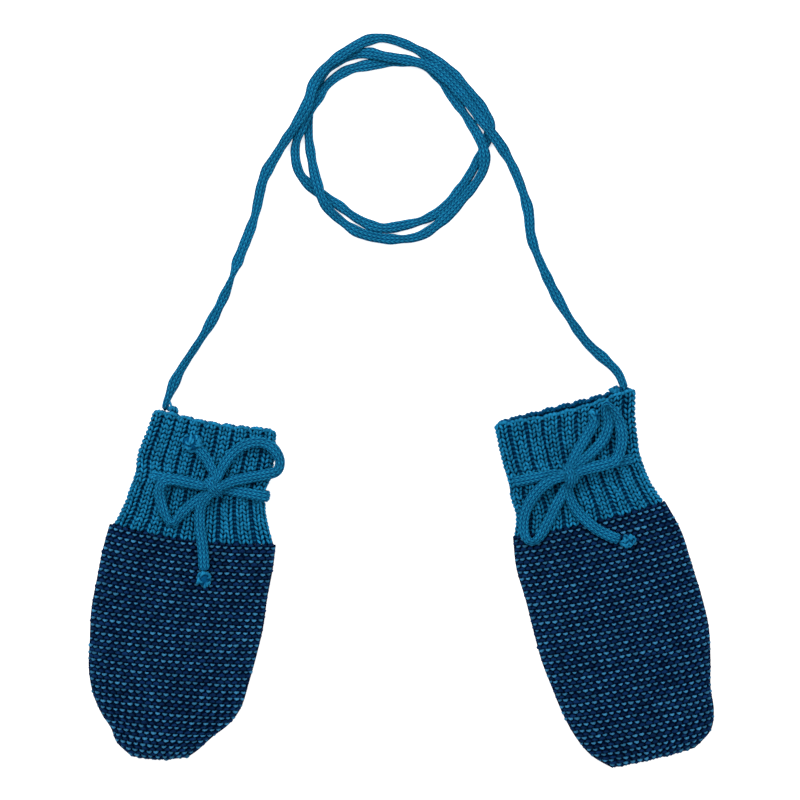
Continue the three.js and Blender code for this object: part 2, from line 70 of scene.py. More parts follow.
# The tube's outline would be an ellipse at a power of 1, and is squarer below that
OUTLINE_POWER = 0.85
OUTLINE_READINGS = 721
LINE_READINGS = 40
CORD_STEP = 0.8 * MM
CORD_END = 1.2 * MM
CORD_END_SHARE = 0.04
NECK_ROUTE = (
    (-0.0886, 0.0617, 0.0040), (-0.0874, 0.0665, 0.0030), (-0.0830, 0.0765, 0.0018),
    (-0.0731, 0.0919, 0.0018), (-0.0656, 0.1065, 0.0018), (-0.0608, 0.1192, 0.0018),
    (-0.0551, 0.1342, 0.0018), (-0.0516, 0.1490, 0.0018), (-0.0462, 0.1588, 0.0026),
    (-0.0398, 0.1683, 0.0072), (-0.0349, 0.1764, 0.0100), (-0.0328, 0.1834, 0.0088),
    (-0.0293, 0.1893, 0.0068), (-0.0243, 0.1939, 0.0060), (-0.0180, 0.1981, 0.0055),
    (-0.0120, 0.2014, 0.0026), (-0.0052, 0.2022, 0.0018), (0.0030, 0.1996, 0.0018),
    (0.0112, 0.1952, 0.0018), (0.0190, 0.1899, 0.0018), (0.0261, 0.1823, 0.0018),
    (0.0318, 0.1746, 0.0018), (0.0339, 0.1695, 0.0018), (0.0329, 0.1639, 0.0018),
    (0.0298, 0.1572, 0.0018), (0.0260, 0.1501, 0.0018), (0.0196, 0.1412, 0.0018),
    (0.0113, 0.1347, 0.0018), (0.0015, 0.1316, 0.0018), (-0.0075, 0.1306, 0.0018),
    (-0.0158, 0.1339, 0.0018), (-0.0236, 0.1395, 0.0018), (-0.0320, 0.1450, 0.0018),
    (-0.0378, 0.1511, 0.0018), (-0.0396, 0.1586, 0.0019), (-0.0384, 0.1654, 0.0036),
    (-0.0350, 0.1730, 0.0056), (-0.0305, 0.1799, 0.0048), (-0.0264, 0.1857, 0.0019),
    (-0.0193, 0.1903, 0.0018), (-0.0098, 0.1924, 0.0018), (0.0000, 0.1934, 0.0018),
    (0.0084, 0.1924, 0.0018), (0.0150, 0.1874, 0.0018), (0.0196, 0.1804, 0.0018),
    (0.0252, 0.1723, 0.0022), (0.0300, 0.1639, 0.0054), (0.0319, 0.1571, 0.0058),
    (0.0307, 0.1508, 0.0044), (0.0246, 0.1423, 0.0044), (0.0169, 0.1342, 0.0030),
    (0.0075, 0.1276, 0.0018), (-0.0038, 0.1264, 0.0018), (-0.0150, 0.1287, 0.0018),
    (-0.0231, 0.1340, 0.0019), (-0.0285, 0.1395, 0.0052), (-0.0311, 0.1466, 0.0056),
    (-0.0329, 0.1541, 0.0024), (-0.0342, 0.1624, 0.0018), (-0.0347, 0.1699, 0.0018),
    (-0.0346, 0.1770, 0.0018), (-0.0318, 0.1845, 0.0018), (-0.0268, 0.1910, 0.0018),
    (-0.0202, 0.1952, 0.0018), (-0.0128, 0.1965, 0.0026), (-0.0052, 0.1949, 0.0054),
    (0.0030, 0.1936, 0.0056), (0.0105, 0.1916, 0.0056), (0.0165, 0.1875, 0.0055),
    (0.0225, 0.1815, 0.0052), (0.0285, 0.1736, 0.0050), (0.0337, 0.1670, 0.0059),
    (0.0386, 0.1605, 0.0034), (0.0439, 0.1508, 0.0018), (0.0482, 0.1380, 0.0018),
    (0.0497, 0.1264, 0.0018), (0.0549, 0.1132, 0.0018), (0.0617, 0.1001, 0.0018),
    (0.0700, 0.0879, 0.0018), (0.0779, 0.0804, 0.0019), (0.0822, 0.0757, 0.0032),
    (0.0846, 0.0697, 0.0051),
)
# Which route point, counted from the left cuff, and how far the flat tube has turned there
NECK_TURNS = (
    (0, 80), (1, 74), (1.7, 8), (2.45, 55), (2.95, 58), (3.35, 8), (3.9, 10), (4.4, 90), (4.9, 172),
    (9, 180), (70, 180), (73.2, 182), (75.0, 205), (75.9, 222), (76.5, 190), (77.1, 226), (78, 200),
    (79.5, 222), (81, 235),
)


def spline(rows, places):
    """Rows of numbers read between their places along a smooth curve through them all"""
    rows = np.asarray(rows, float)
    padded = np.vstack([2 * rows[0] - rows[1], rows, 2 * rows[-1] - rows[-2]])
    places = np.clip(places, 0, len(rows) - 1)
    first = np.minimum(places.astype(int), len(rows) - 2)
    share = (places - first)[..., None]
    before, start, end, after = (padded[first + k] for k in range(4))
    leaving, arriving = (end - before) / 2, (after - start) / 2
    bend = 2 * start - 2 * end + leaving + arriving
    swing = 3 * end - 3 * start - 2 * leaving - arriving
    return bend * share ** 3 + swing * share ** 2 + leaving * share + start


def run_along(points):
    """How far along a line each of its points lies"""
    steps = np.linalg.norm(np.diff(points, axis=0), axis=1)
    return np.concatenate([[0], np.cumsum(steps)])


def even_line(rows, step):
    """Places about one step apart along the smooth curve through rows that begin with x, y and z"""
    places = np.linspace(0, len(rows) - 1, LINE_READINGS * len(rows))
    run = run_along(spline(rows, places)[:, :3])
    count = int(run[-1] / step) + 1
    return np.interp(np.linspace(0, run[-1], count), run, places)


def unit(vectors):
    """The vectors at length one"""
    return vectors / np.maximum(np.linalg.norm(vectors, axis=-1, keepdims=True), 1e-12)


def new_group(name, sockets):
    """An empty shader node group with its named inputs and outputs"""
    group = bpy.data.node_groups.new(name, "ShaderNodeTree")
    for label, kind, direction in sockets:
        group.interface.new_socket(label, in_out=direction, socket_type=kind)
    return group, group.nodes.new("NodeGroupInput"), group.nodes.new("NodeGroupOutput")


def sum_up(group, operation, first, second=0, third=None):
    """One sum in a node group, of numbers or of other nodes' values"""
    node = group.nodes.new("ShaderNodeMath")
    node.operation = operation
    for socket, value in zip(node.inputs, (first, second, third)):
        if isinstance(value, (int, float)):
            socket.default_value = value
        elif value is not None:
            group.links.new(value, socket)
    return node.outputs[0]


# The wool's heathered shade comes in two sizes, and its fibres in a third, in clouds a metre
COARSE_HEATHER = 260
FINE_HEATHER = 2600
FIBRES = 4200
PLY_LENGTH = 0.55 * MM
PLY_HEIGHT = 0.3
FIBRE_HEIGHT = 0.9
# The V stitches' lean; the stroke and level of their relief, which paints shade between the strokes; and the
# relief's depth in the bump
CHAIN_LEAN = 0.95
CHAIN_STROKE = 0.42
CHAIN_LEVEL = 0.56
CHAIN_DEPTH = 3.0
WOOL_ROUGHNESS = 0.9
WOOL_SHINE = 0.02
WOOL_BUMP = 0.6
WOOL_BUMP_DEPTH = 0.12 * MM


def point_value(nodes, label):
    """A value that each point of a knitted mesh carries"""
    node = nodes.new("ShaderNodeAttribute")
    node.attribute_name = label
    return node


def wool_pattern():
    """The look that all the yarns share: painted shade in the hollows, lighter crests, heathered wool and a
    soft ply
    """
    group, given, made = new_group("wool_pattern", (
        ("Crest", "NodeSocketColor", "INPUT"), ("Hollow Shade", "NodeSocketColor", "INPUT"),
        ("Relief", "NodeSocketFloat", "INPUT"), ("Relief Depth", "NodeSocketFloat", "INPUT"),
        ("Heather", "NodeSocketFloat", "INPUT"), ("Stitch Change", "NodeSocketFloat", "INPUT"),
        ("Ply Length", "NodeSocketFloat", "INPUT"),
        ("Color", "NodeSocketColor", "OUTPUT"), ("Height", "NodeSocketFloat", "OUTPUT"),
    ))
    nodes, links = group.nodes, group.links
    place = nodes.new("ShaderNodeTexCoord")

    def cloud(scale, detail):
        node = nodes.new("ShaderNodeTexNoise")
        node.inputs["Scale"].default_value = scale
        node.inputs["Detail"].default_value = detail
        links.new(place.outputs["Object"], node.inputs["Vector"])
        return node.outputs["Fac"]

    def vary(value, amount):
        return sum_up(group, "MULTIPLY_ADD", sum_up(group, "SUBTRACT", value, 0.5), amount, 1.0)

    yarn = nodes.new("ShaderNodeSeparateXYZ")
    links.new(point_value(nodes, "yarn").outputs["Vector"], yarn.inputs[0])
    # The colour runs from the hollow's painted shade to the crest's colour as each point stands out
    shade = nodes.new("ShaderNodeMix")
    shade.data_type = "RGBA"
    links.new(given.outputs["Relief"], shade.inputs["Factor"])
    links.new(given.outputs["Hollow Shade"], shade.inputs[6])
    links.new(given.outputs["Crest"], shade.inputs[7])
    heather = sum_up(group, "MULTIPLY", vary(cloud(COARSE_HEATHER, 3), given.outputs["Heather"]),
                     vary(cloud(FINE_HEATHER, 4), given.outputs["Heather"]))
    stitch_shade = vary(point_value(nodes, "tint").outputs["Fac"], given.outputs["Stitch Change"])
    value = sum_up(group, "MULTIPLY", heather, stitch_shade)
    dyed = nodes.new("ShaderNodeHueSaturation")
    links.new(shade.outputs[2], dyed.inputs["Color"])
    links.new(value, dyed.inputs["Value"])
    links.new(dyed.outputs["Color"], made.inputs["Color"])
    turn = sum_up(group, "ADD", sum_up(group, "DIVIDE", yarn.outputs["X"], given.outputs["Ply Length"]),
                  yarn.outputs["Y"])
    ply = sum_up(group, "SINE", sum_up(group, "MULTIPLY", turn, 2 * math.pi))
    fibres = sum_up(group, "MULTIPLY", cloud(FIBRES, 3), FIBRE_HEIGHT)
    fibres = sum_up(group, "MULTIPLY_ADD", ply, PLY_HEIGHT, fibres)
    height = sum_up(group, "MULTIPLY_ADD", given.outputs["Relief"], given.outputs["Relief Depth"], fibres)
    links.new(height, made.inputs["Height"])
    return group


def chain_stitches():
    """The rows of fine V stitches on a knitted tube: each leans up from the middle of its wale; their relief
    darkens the colour between strokes as painted shade and raises the cord's bump
    """
    group, given, made = new_group("chain_stitches", (
        ("Wale Relief", "NodeSocketFloat", "INPUT"), ("Yarn", "NodeSocketVector", "INPUT"),
        ("Course", "NodeSocketFloat", "INPUT"), ("Lean", "NodeSocketFloat", "INPUT"),
        ("Relief", "NodeSocketFloat", "OUTPUT"),
    ))
    yarn = group.nodes.new("ShaderNodeSeparateXYZ")
    group.links.new(given.outputs["Yarn"], yarn.inputs[0])
    course = sum_up(group, "DIVIDE", yarn.outputs["X"], given.outputs["Course"])
    phase = sum_up(group, "MULTIPLY_ADD", yarn.outputs["Y"], given.outputs["Lean"], course)
    wave = sum_up(group, "COSINE", sum_up(group, "MULTIPLY", phase, 2 * math.pi))
    stroke = sum_up(group, "MULTIPLY_ADD", wave, CHAIN_STROKE, CHAIN_LEVEL)
    group.links.new(sum_up(group, "MULTIPLY", stroke, given.outputs["Wale Relief"]), made.inputs["Relief"])
    return group


WOOL_PATTERN = wool_pattern()
CHAIN_STITCHES = chain_stitches()


def dye(red, green, blue):
    """A colour given as it shows on a screen, from 0 to 255, as the shader reads it"""
    shares = (red / 255, green / 255, blue / 255)
    return tuple(c / 12.92 if c <= 0.04045 else ((c + 0.055) / 1.055) ** 2.4 for c in shares) + (1,)


def wool(name, crest, hollow_shade, heather, stitch_change, knitted_fine=False):
    """A wool yarn, dyed, with painted shade towards its hollows, matt and softly haired; a finely knitted one
    shows its own rows of stitches
    """
    material = bpy.data.materials.new(name)
    material.use_nodes = True
    nodes, links = material.node_tree.nodes, material.node_tree.links
    surface = nodes["Principled BSDF"]
    surface.inputs["Roughness"].default_value = WOOL_ROUGHNESS
    surface.inputs["Specular IOR Level"].default_value = WOOL_SHINE
    pattern = nodes.new("ShaderNodeGroup")
    pattern.node_tree = WOOL_PATTERN
    settings = {
        "Crest": crest, "Hollow Shade": hollow_shade, "Heather": heather, "Stitch Change": stitch_change,
        "Ply Length": PLY_LENGTH, "Relief Depth": CHAIN_DEPTH if knitted_fine else 0.0,
    }
    for label, value in settings.items():
        pattern.inputs[label].default_value = value
    relief = point_value(nodes, "relief").outputs["Fac"]
    if knitted_fine:
        chain = nodes.new("ShaderNodeGroup")
        chain.node_tree = CHAIN_STITCHES
        chain.inputs["Course"].default_value = CORD_COURSE
        chain.inputs["Lean"].default_value = CHAIN_LEAN
        links.new(relief, chain.inputs["Wale Relief"])
        links.new(point_value(nodes, "yarn").outputs["Vector"], chain.inputs["Yarn"])
        relief = chain.outputs["Relief"]
    links.new(relief, pattern.inputs["Relief"])
    links.new(pattern.outputs["Color"], surface.inputs["Base Color"])
    bump = nodes.new("ShaderNodeBump")
    bump.inputs["Strength"].default_value = WOOL_BUMP
    bump.inputs["Distance"].default_value = WOOL_BUMP_DEPTH
    links.new(pattern.outputs["Height"], bump.inputs["Height"])
    links.new(bump.outputs["Normal"], surface.inputs["Normal"])
    return material


def knit_piece(name, points, faces, relief, tint, yarn, material):
    """One knitted piece: its points in metres, how far each point stands out of the hollows, from 0 to 1,
    which also sets its painted shade, the stitch's own tint, and each point's place along and round its yarn"""
    mesh = bpy.data.meshes.new(name)
    mesh.from_pydata(points.tolist(), [], faces)
    mesh.polygons.foreach_set("use_smooth", np.ones(len(mesh.polygons), bool))
    for label, values in (("relief", relief), ("tint", tint)):
        layer = mesh.attributes.new(label, "FLOAT", "POINT")
        layer.data.foreach_set("value", np.asarray(values, np.float32).ravel())
    layer = mesh.attributes.new("yarn", "FLOAT_VECTOR", "POINT")
    layer.data.foreach_set("vector", np.asarray(yarn, np.float32).ravel())
    mesh.materials.append(material)
    piece = bpy.data.objects.new(name, mesh)
    bpy.context.scene.collection.objects.link(piece)
    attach(piece, "root")
    return piece


def tube_faces(rings, sides):
    """Faces of a closed tube of rings, with a pole at each end after the last ring"""
    faces = []
    for ring in range(rings - 1):
        low, high = ring * sides, (ring + 1) * sides
        for side in range(sides):
            after = (side + 1) % sides
            faces.append((low + side, low + after, high + after, high + side))
    first_pole, last_pole, last = rings * sides, rings * sides + 1, (rings - 1) * sides
    for side in range(sides):
        after = (side + 1) % sides
        faces.append((first_pole, after, side))
        faces.append((last_pole, last + side, last + after))
    return faces


def cord_outline(width, sides):
    """The flattened tube's outline, read at even distances, and the way out of it at each place"""
    angle = np.linspace(0, 2 * math.pi, OUTLINE_READINGS)
    across = np.sign(np.cos(angle)) * np.abs(np.cos(angle)) ** OUTLINE_POWER * (width - CORD_RELIEF) / 2
    up = np.sign(np.sin(angle)) * np.abs(np.sin(angle)) ** OUTLINE_POWER * (CORD_THICKNESS - CORD_RELIEF) / 2
    run = np.concatenate([[0], np.cumsum(np.hypot(np.diff(across), np.diff(up)))])
    even = np.arange(sides) * run[-1] / sides
    outline = np.stack([np.interp(even, run, across), np.interp(even, run, up)], axis=1)
    tangent = unit(np.roll(outline, -1, axis=0) - np.roll(outline, 1, axis=0))
    return outline, np.stack([tangent[:, 1], -tangent[:, 0]], axis=1)


def knit_cord(name, line, outward, turns, width, pinch=1.0):
    """A flattened knitted tube along a line: outward is the way its flat face looks where it hasn't turned,
    and pinch is the share of its width that it has at each place, where a knot or a pull draws it in"""
    tangent = unit(np.gradient(line, axis=0))
    side = unit(np.cross(outward, tangent))
    lift = np.cross(tangent, side)
    turn = np.radians(turns)[:, None]
    broad = side * np.cos(turn) + lift * np.sin(turn)
    thin = lift * np.cos(turn) - side * np.sin(turn)
    distance = run_along(line)
    sides = CORD_WALES * len(WALE_RELIEF)
    outline, way_out = cord_outline(width, sides)
    ridge = np.tile(WALE_RELIEF, CORD_WALES)
    from_end = np.minimum(distance, distance[-1] - distance)
    full = np.sqrt(1 - (1 - np.clip(from_end / CORD_END, CORD_END_SHARE, 1)) ** 2)[:, None, None]
    section = outline + way_out * ((ridge - 0.5) * CORD_RELIEF)[:, None]
    reach = section[None, :, :] * full
    reach[..., 0] *= np.broadcast_to(pinch, distance.shape)[:, None]
    points = line[:, None, :] + broad[:, None, :] * reach[..., :1] + thin[:, None, :] * reach[..., 1:]
    points = np.vstack([points.reshape(-1, 3), line[0], line[-1]])
    relief = np.concatenate([np.tile(ridge, len(line)), [0.5, 0.5]])
    yarn = np.zeros((len(points), 3))
    yarn[:-2, 0] = np.repeat(distance, sides)
    yarn[:-2, 1] = np.tile(WALE_FOLD, CORD_WALES * len(line))
    tint = np.full(len(points), 0.5)
    faces = tube_faces(len(line), sides)
    return knit_piece(name, points, faces, relief, tint, yarn, CORD_WOOL)


def edge_lift(turns, width):
    """How much higher the flat tube's middle lies where it has turned towards its edge"""
    return np.abs(np.sin(np.radians(turns))) * (width - CORD_THICKNESS) / 2


# The cord's teal at its crests, and painted shade in the hollows between its wales and stitches
CORD_WOOL = wool("cord_wool", dye(30, 136, 178), dye(0, 42, 84), 0.65, 0.0, knitted_fine=True)
neck_rows = np.array(NECK_ROUTE) + PAIR_SHIFT
neck_places = even_line(neck_rows, CORD_STEP)
neck_line = spline(neck_rows, neck_places)
neck_turns = np.interp(neck_places, *zip(*NECK_TURNS))
neck_line[:, 2] = (
    CORD_THICKNESS / 2 + edge_lift(neck_turns, NECK_CORD_WIDTH)
    + (neck_line[:, 2] - SOLID_CORD_THICKNESS / 2) * CORD_THICKNESS / SOLID_CORD_THICKNESS
)
neck_up = np.tile((0.0, 0.0, 1.0), (len(neck_line), 1))
neck_distance = run_along(neck_line)
neck_widening = 1 + sum(
    share * np.sin(2 * math.pi * neck_distance / wave + start) for share, wave, start in NECK_UNEVENNESS)
neck_cord = knit_cord("neck_cord_knit", neck_line, neck_up, neck_turns, NECK_CORD_WIDTH, neck_widening)
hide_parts("neck_cord")

# Each drawstring is the same knitted tube, threaded round the wrist and tied in a bow on the front. It
# runs from its short tail round one loop, the wrist and the other loop to its long tail. Its rows give
# millimetres across the mitten, along it from the tip and up, and how many degrees the tube has turned.
MITTENS = {
    "left": {"tip": np.array((-88.1, -68.3)) * MM + PAIR_SHIFT[:2], "lean": math.radians(8.3)},
    "right": {"tip": np.array((93.8, -69.4)) * MM + PAIR_SHIFT[:2], "lean": math.radians(-14.5)},
}
STRING_WIDTH = 4.2 * MM
STRING_STEP = 0.6 * MM
LEFT_STRING_START = (
    (-4.6, 116.9, 10.0, 0), (-2.6, 115.3, 9.9, 0), (-0.6, 113.3, 9.8, 0), (1.2, 110.9, 9.9, 0),
    (3.1, 108.5, 10.5, 0), (4.8, 105.7, 11.4, 0), (3.8, 103.4, 12.0, 0), (1.3, 102.9, 12.3, 0),
    (-1.8, 103.2, 12.2, 0), (-5.6, 103.5, 12.0, 0), (-10.4, 103.9, 11.9, 0), (-14.0, 103.3, 11.6, 10),
    (-15.6, 101.2, 10.9, 25), (-15.8, 98.0, 10.1, 15), (-14.7, 94.2, 9.6, 10), (-12.6, 90.3, 9.5, 30),
    (-10.4, 87.8, 9.4, 55), (-8.7, 88.0, 9.4, 60), (-7.2, 90.7, 9.5, 30), (-5.0, 93.7, 9.6, 0),
    (-2.4, 96.5, 10.0, 0), (0.3, 99.2, 10.8, 0), (2.2, 101.6, 11.2, 0),
)
LEFT_STRING_END = (
    (2.6, 103.2, 11.2, 0), (4.9, 106.5, 11.6, 0), (5.6, 109.6, 10.7, 0), (7.1, 113.3, 9.9, 0),
    (9.7, 117.4, 9.7, 0), (13.5, 120.6, 9.6, 0), (18.2, 122.1, 9.3, 0), (22.5, 121.2, 8.9, -10),
    (25.5, 118.6, 8.4, -30), (26.9, 115.4, 8.0, -40), (26.0, 112.2, 8.1, -30), (21.8, 110.3, 8.8, -10),
    (16.4, 108.5, 9.8, 0), (11.3, 106.7, 11.2, 0), (7.8, 104.7, 12.6, 0), (5.1, 102.4, 13.2, 0),
    (2.2, 99.3, 12.8, 0), (0.4, 96.0, 10.9, 0), (0.1, 92.2, 9.8, 0), (0.8, 87.7, 9.5, 0),
    (2.8, 80.8, 9.3, 0), (4.0, 75.3, 9.2, 0), (4.7, 71.6, 9.2, 0),
)
RIGHT_STRING_START = (
    (11.7, 129.5, 10.1, 0), (9.9, 126.8, 9.9, 0), (7.2, 124.0, 9.8, 0), (4.1, 121.0, 10.0, 0),
    (0.5, 117.3, 10.9, 0), (-2.8, 113.8, 12.0, 0), (-3.6, 112.0, 12.4, 0), (-5.6, 111.2, 12.4, 0),
    (-9.2, 111.3, 12.1, 0), (-13.9, 109.7, 11.3, 0), (-18.6, 106.3, 10.0, 0), (-22.3, 101.9, 8.9, 10),
    (-24.3, 96.6, 8.5, 25), (-24.2, 92.3, 8.5, 50), (-22.3, 90.6, 8.7, 60), (-19.3, 91.8, 9.1, 35),
    (-15.6, 95.5, 9.4, 10), (-11.8, 99.9, 9.7, 0), (-7.9, 104.3, 10.2, 0), (-4.6, 108.1, 11.0, 0),
)
RIGHT_STRING_END = (
    (-3.2, 111.4, 11.2, 0), (-0.6, 113.3, 11.2, 0), (2.5, 114.8, 10.8, 0), (7.0, 117.1, 10.0, 0),
    (11.1, 119.6, 9.8, 0), (14.2, 122.6, 9.9, 0), (16.1, 126.8, 10.4, 10), (16.0, 131.1, 11.0, 40),
    (16.2, 133.6, 11.5, 70), (17.4, 133.2, 11.6, 75), (19.1, 129.5, 11.0, 40), (20.1, 125.0, 10.2, 10),
    (19.5, 119.7, 10.1, 0), (17.3, 114.9, 11.0, 0), (14.2, 112.2, 11.9, 0), (9.5, 111.8, 12.2, 0),
    (4.9, 111.9, 12.6, 0), (0.1, 111.5, 13.2, 0), (-2.9, 109.9, 13.0, 0), (-4.4, 107.3, 11.5, 0),
    (-4.7, 103.5, 10.0, 0), (-3.9, 99.0, 9.6, 0), (-1.6, 94.2, 9.5, 0), (1.8, 89.4, 9.4, 0),
    (5.8, 85.7, 9.3, 0), (9.5, 83.2, 9.3, 0),
)
STRING_ROUTES = {
    "left": (LEFT_STRING_START, LEFT_STRING_END),
    "right": (RIGHT_STRING_START, RIGHT_STRING_END),
}
BOW_LOOPS = {"left": ("left", "right"), "right": ("upper", "lower")}
# Where the string turns round each side of the wrist, across and along the mitten, and how square its
# turn is: it passes round the left mitten's right edge and dives into the ribs elsewhere.
WRISTS = {
    "left": {"middle": -1.5, "left": (-20.3, 103.8, 3), "right": (23.8, 102.3, 6)},
    "right": {"middle": 0.2, "left": (-23.3, 113.9, 3), "right": (21.8, 111.2, 3)},
}
WRIST_TOP = 9.7
WRIST_BOTTOM = 1.6
WRIST_POINTS = 28
BOW_HALF_WIDTH = 4.6
KNOT_CENTRES = {"left": (3.5, 103.2, 11.0), "right": (-2.9, 111.1, 11.0)}
KNOT_PINCH = 0.36
KNOT_REACH = 5.5 * MM


def turn_mitten(ways, side):
    """Directions in a mitten's own frame, as they point on the table"""
    ways = np.asarray(ways, float)
    lean = MITTENS[side]["lean"]
    east = ways[..., 0] * math.cos(lean) + ways[..., 1] * math.sin(lean)
    north = ways[..., 1] * math.cos(lean) - ways[..., 0] * math.sin(lean)
    return np.stack([east, north, ways[..., 2]], axis=-1)


def lay_mitten(points, side):
    """Places given in a mitten's own millimetres, as they lie on the table in metres"""
    return turn_mitten(points, side) * MM + (*MITTENS[side]["tip"], 0)


def round_wrist(wrist, knot_across):
    """The string's way round the wrist, from right of the knot under the cuff and back to its left,
    and the way out of the cuff along it"""
    level = (WRIST_TOP + WRIST_BOTTOM) / 2
    half_height = (WRIST_TOP - WRIST_BOTTOM) / 2
    middle = wrist["middle"]

    def angle_over(across):
        side, _along, squareness = wrist["right"] if across > middle else wrist["left"]
        share = (across - middle) / abs(side - middle)
        return math.acos(math.copysign(abs(share) ** (squareness / 2), share))

    start, end = angle_over(knot_across + BOW_HALF_WIDTH), angle_over(knot_across - BOW_HALF_WIDTH)
    points, ways = [], []
    for angle in np.linspace(start, end - 2 * math.pi, WRIST_POINTS):
        cosine, sine = math.cos(angle), math.sin(angle)
        side, along, squareness = wrist["right"] if cosine > 0 else wrist["left"]
        other_along = (wrist["left"] if cosine > 0 else wrist["right"])[1]
        middle_along = (along + other_along) / 2
        reach = abs(cosine) ** (2 / squareness)
        rise = math.copysign(abs(sine) ** (2 / squareness), sine)
        points.append((middle + (side - middle) * reach, middle_along + (along - middle_along) * reach,
                       level + half_height * rise))
        power = 2 - 2 / squareness
        ways.append((abs(cosine) ** power / (side - middle), 0,
                     math.copysign(abs(sine) ** power, sine) / half_height))
    return np.array(points), unit(np.array(ways))


def tie_drawstring(side):
    """One drawstring with its bow, along its whole length, and the line that it follows"""
    knot = KNOT_CENTRES[side]
    ring, ring_ways = round_wrist(WRISTS[side], knot[0])
    start, end = (np.array(route) for route in STRING_ROUTES[side])
    route = np.vstack([start[:, :3], ring, end[:, :3]])
    ways = np.vstack([np.tile((0, 0, 1.0), (len(start), 1)), ring_ways, np.tile((0, 0, 1.0), (len(end), 1))])
    turns = np.concatenate([start[:, 3], np.zeros(len(ring)), end[:, 3]])
    rows = np.hstack([lay_mitten(route, side), turn_mitten(ways, side), turns[:, None]])
    laid = spline(rows, even_line(rows, STRING_STEP))
    line, outward, turned = laid[:, :3], unit(laid[:, 3:6]), laid[:, 6]
    line[:, 2] += edge_lift(turned, STRING_WIDTH)
    from_knot = np.linalg.norm(line - lay_mitten(knot, side), axis=1)
    pinch = 1 - KNOT_PINCH * np.exp(-(from_knot / KNOT_REACH) ** 2)
    string = knit_cord(side + "_drawstring", line, outward, turned, STRING_WIDTH, pinch)
    return string, line


drawstrings = {side: tie_drawstring(side) for side in MITTENS}
for side, (string, _line) in drawstrings.items():
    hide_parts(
        side + "_wrist_string", *(side + "_bow_loop_" + loop for loop in BOW_LOOPS[side]),
        side + "_tail_short", side + "_tail_long")

# Each bow's knot is the string drawn tight round itself: a rounded core with one turn over it.
# Each tail ends in a small knot of its own curled and matted yarn.
KNOT_RADII = (3.3, 3.1, 2.1)
KNOT_CURLS = 40
KNOT_CURL = 1.3
KNOT_TURN_DEPTH = 3.0
KNOT_TURNS = {
    "left": (
        (0.6, 105.2, 10.2), (1.8, 104.5, 13.2), (3.6, 102.8, 14.4), (5.4, 101.2, 13.0), (6.2, 100.4, 10.2),
    ),
    "right": (
        (-3.5, 115.0, 10.6), (-3.1, 113.6, 13.6), (-2.8, 111.2, 14.6), (-3.4, 108.6, 13.6),
        (-4.4, 106.6, 11.2),
    ),
}
TAIL_ENDS = {
    "left_tail_knot_short": {
        "centre": (-6.6, 118.4, 10.0), "radii": (3.9, 3.4, 2.1), "curls": 34, "curl": 1.2,
    },
    "left_tail_knot_long": {"centre": (5.0, 68.3, 9.4), "radii": (2.6, 2.9, 1.7), "curls": 22, "curl": 1.1},
    "right_tail_knot_short": {
        "centre": (11.6, 130.2, 10.3), "radii": (1.9, 2.5, 1.5), "curls": 16, "curl": 1.05,
    },
    "right_tail_knot_long": {
        "centre": (12.0, 82.0, 9.4), "radii": (2.9, 2.2, 1.6), "curls": 22, "curl": 1.05,
    },
}
CURL_LINE = ((-1.1, 0.3, -0.6), (-0.7, -0.1, 0.1), (0, -0.25, 0.35), (0.7, -0.1, 0.1), (1.1, 0.3, -0.6))
CURL_RADII = (0.25, 0.44, 0.5, 0.44, 0.25)
CURL_SIZES = (0.8, 1.15)
CURL_SINK = 0.35
CORE_SINK = 0.5
CORE_SIDES = 16
CORE_RINGS = 8
CORE_RISE = 1.3
# The knot core keeps only this much relief, so its colour lies near the painted shade between the curls
CORE_SHADED_RELIEF = 0.1
YARN_POINT = 0.6
# The curled yarn's teal at its crests, and painted shade in the hollows between curls
CURL_WOOL = wool("curled_cord_wool", dye(26, 118, 160), dye(0, 62, 104), 0.35, 0.35)
chance = np.random.default_rng(7)


def yarn_bit(line, radii, sides=6):
    """A short closed length of yarn as one stitch's pattern: rings round a line, pointed at both ends"""
    line, radii = np.asarray(line, float), np.asarray(radii, float)
    tangent = unit(np.gradient(line, axis=0))
    side = unit(np.cross((0, 0, 1.0), tangent))
    lift = np.cross(tangent, side)
    angle = np.arange(sides) * 2 * math.pi / sides
    ring = np.cos(angle)[None, :, None] * side[:, None] + np.sin(angle)[None, :, None] * lift[:, None]
    points = line[:, None, :] + ring * radii[:, None, None]
    first_end = line[0] - tangent[0] * radii[0] * YARN_POINT
    last_end = line[-1] + tangent[-1] * radii[-1] * YARN_POINT
    points = np.vstack([points.reshape(-1, 3), first_end, last_end])
    yarn = np.zeros((len(points), 3))
    yarn[:-2, 0] = np.repeat(run_along(line), sides) * MM
    yarn[:-2, 1] = np.tile(np.arange(sides) / sides, len(line))
    # Its relief runs with height in the bit, so its lower parts take painted shade
    low, high = points[:, 2].min(), points[:, 2].max()
    relief = (points[:, 2] - low) / (high - low)
    return {"points": points, "faces": tube_faces(len(line), sides), "yarn": yarn, "relief": relief}


def set_stitches(bit, places, across, along, out, sizes, shaded_relief_share=1.0):
    """Copies of one stitch at many places, each turned to its own directions: one joined set of points"""
    spread = sizes[:, None, None] * bit["points"][None] * MM
    points = (
        places[:, None, :] + across[:, None, :] * spread[..., :1]
        + along[:, None, :] * spread[..., 1:2] + out[:, None, :] * spread[..., 2:]
    )
    count, each = len(places), len(bit["points"])
    faces = [
        tuple(corner + stitch * each for corner in face)
        for stitch in range(count) for face in bit["faces"]
    ]
    # A relief share below 1 darkens the stitches' colour towards the hollow as painted shade
    return {
        "points": points.reshape(-1, 3), "faces": faces,
        "relief": np.tile(bit["relief"], count) * shaded_relief_share,
        "tint": np.repeat(chance.uniform(0, 1, count), each), "yarn": np.tile(bit["yarn"], (count, 1)),
    }


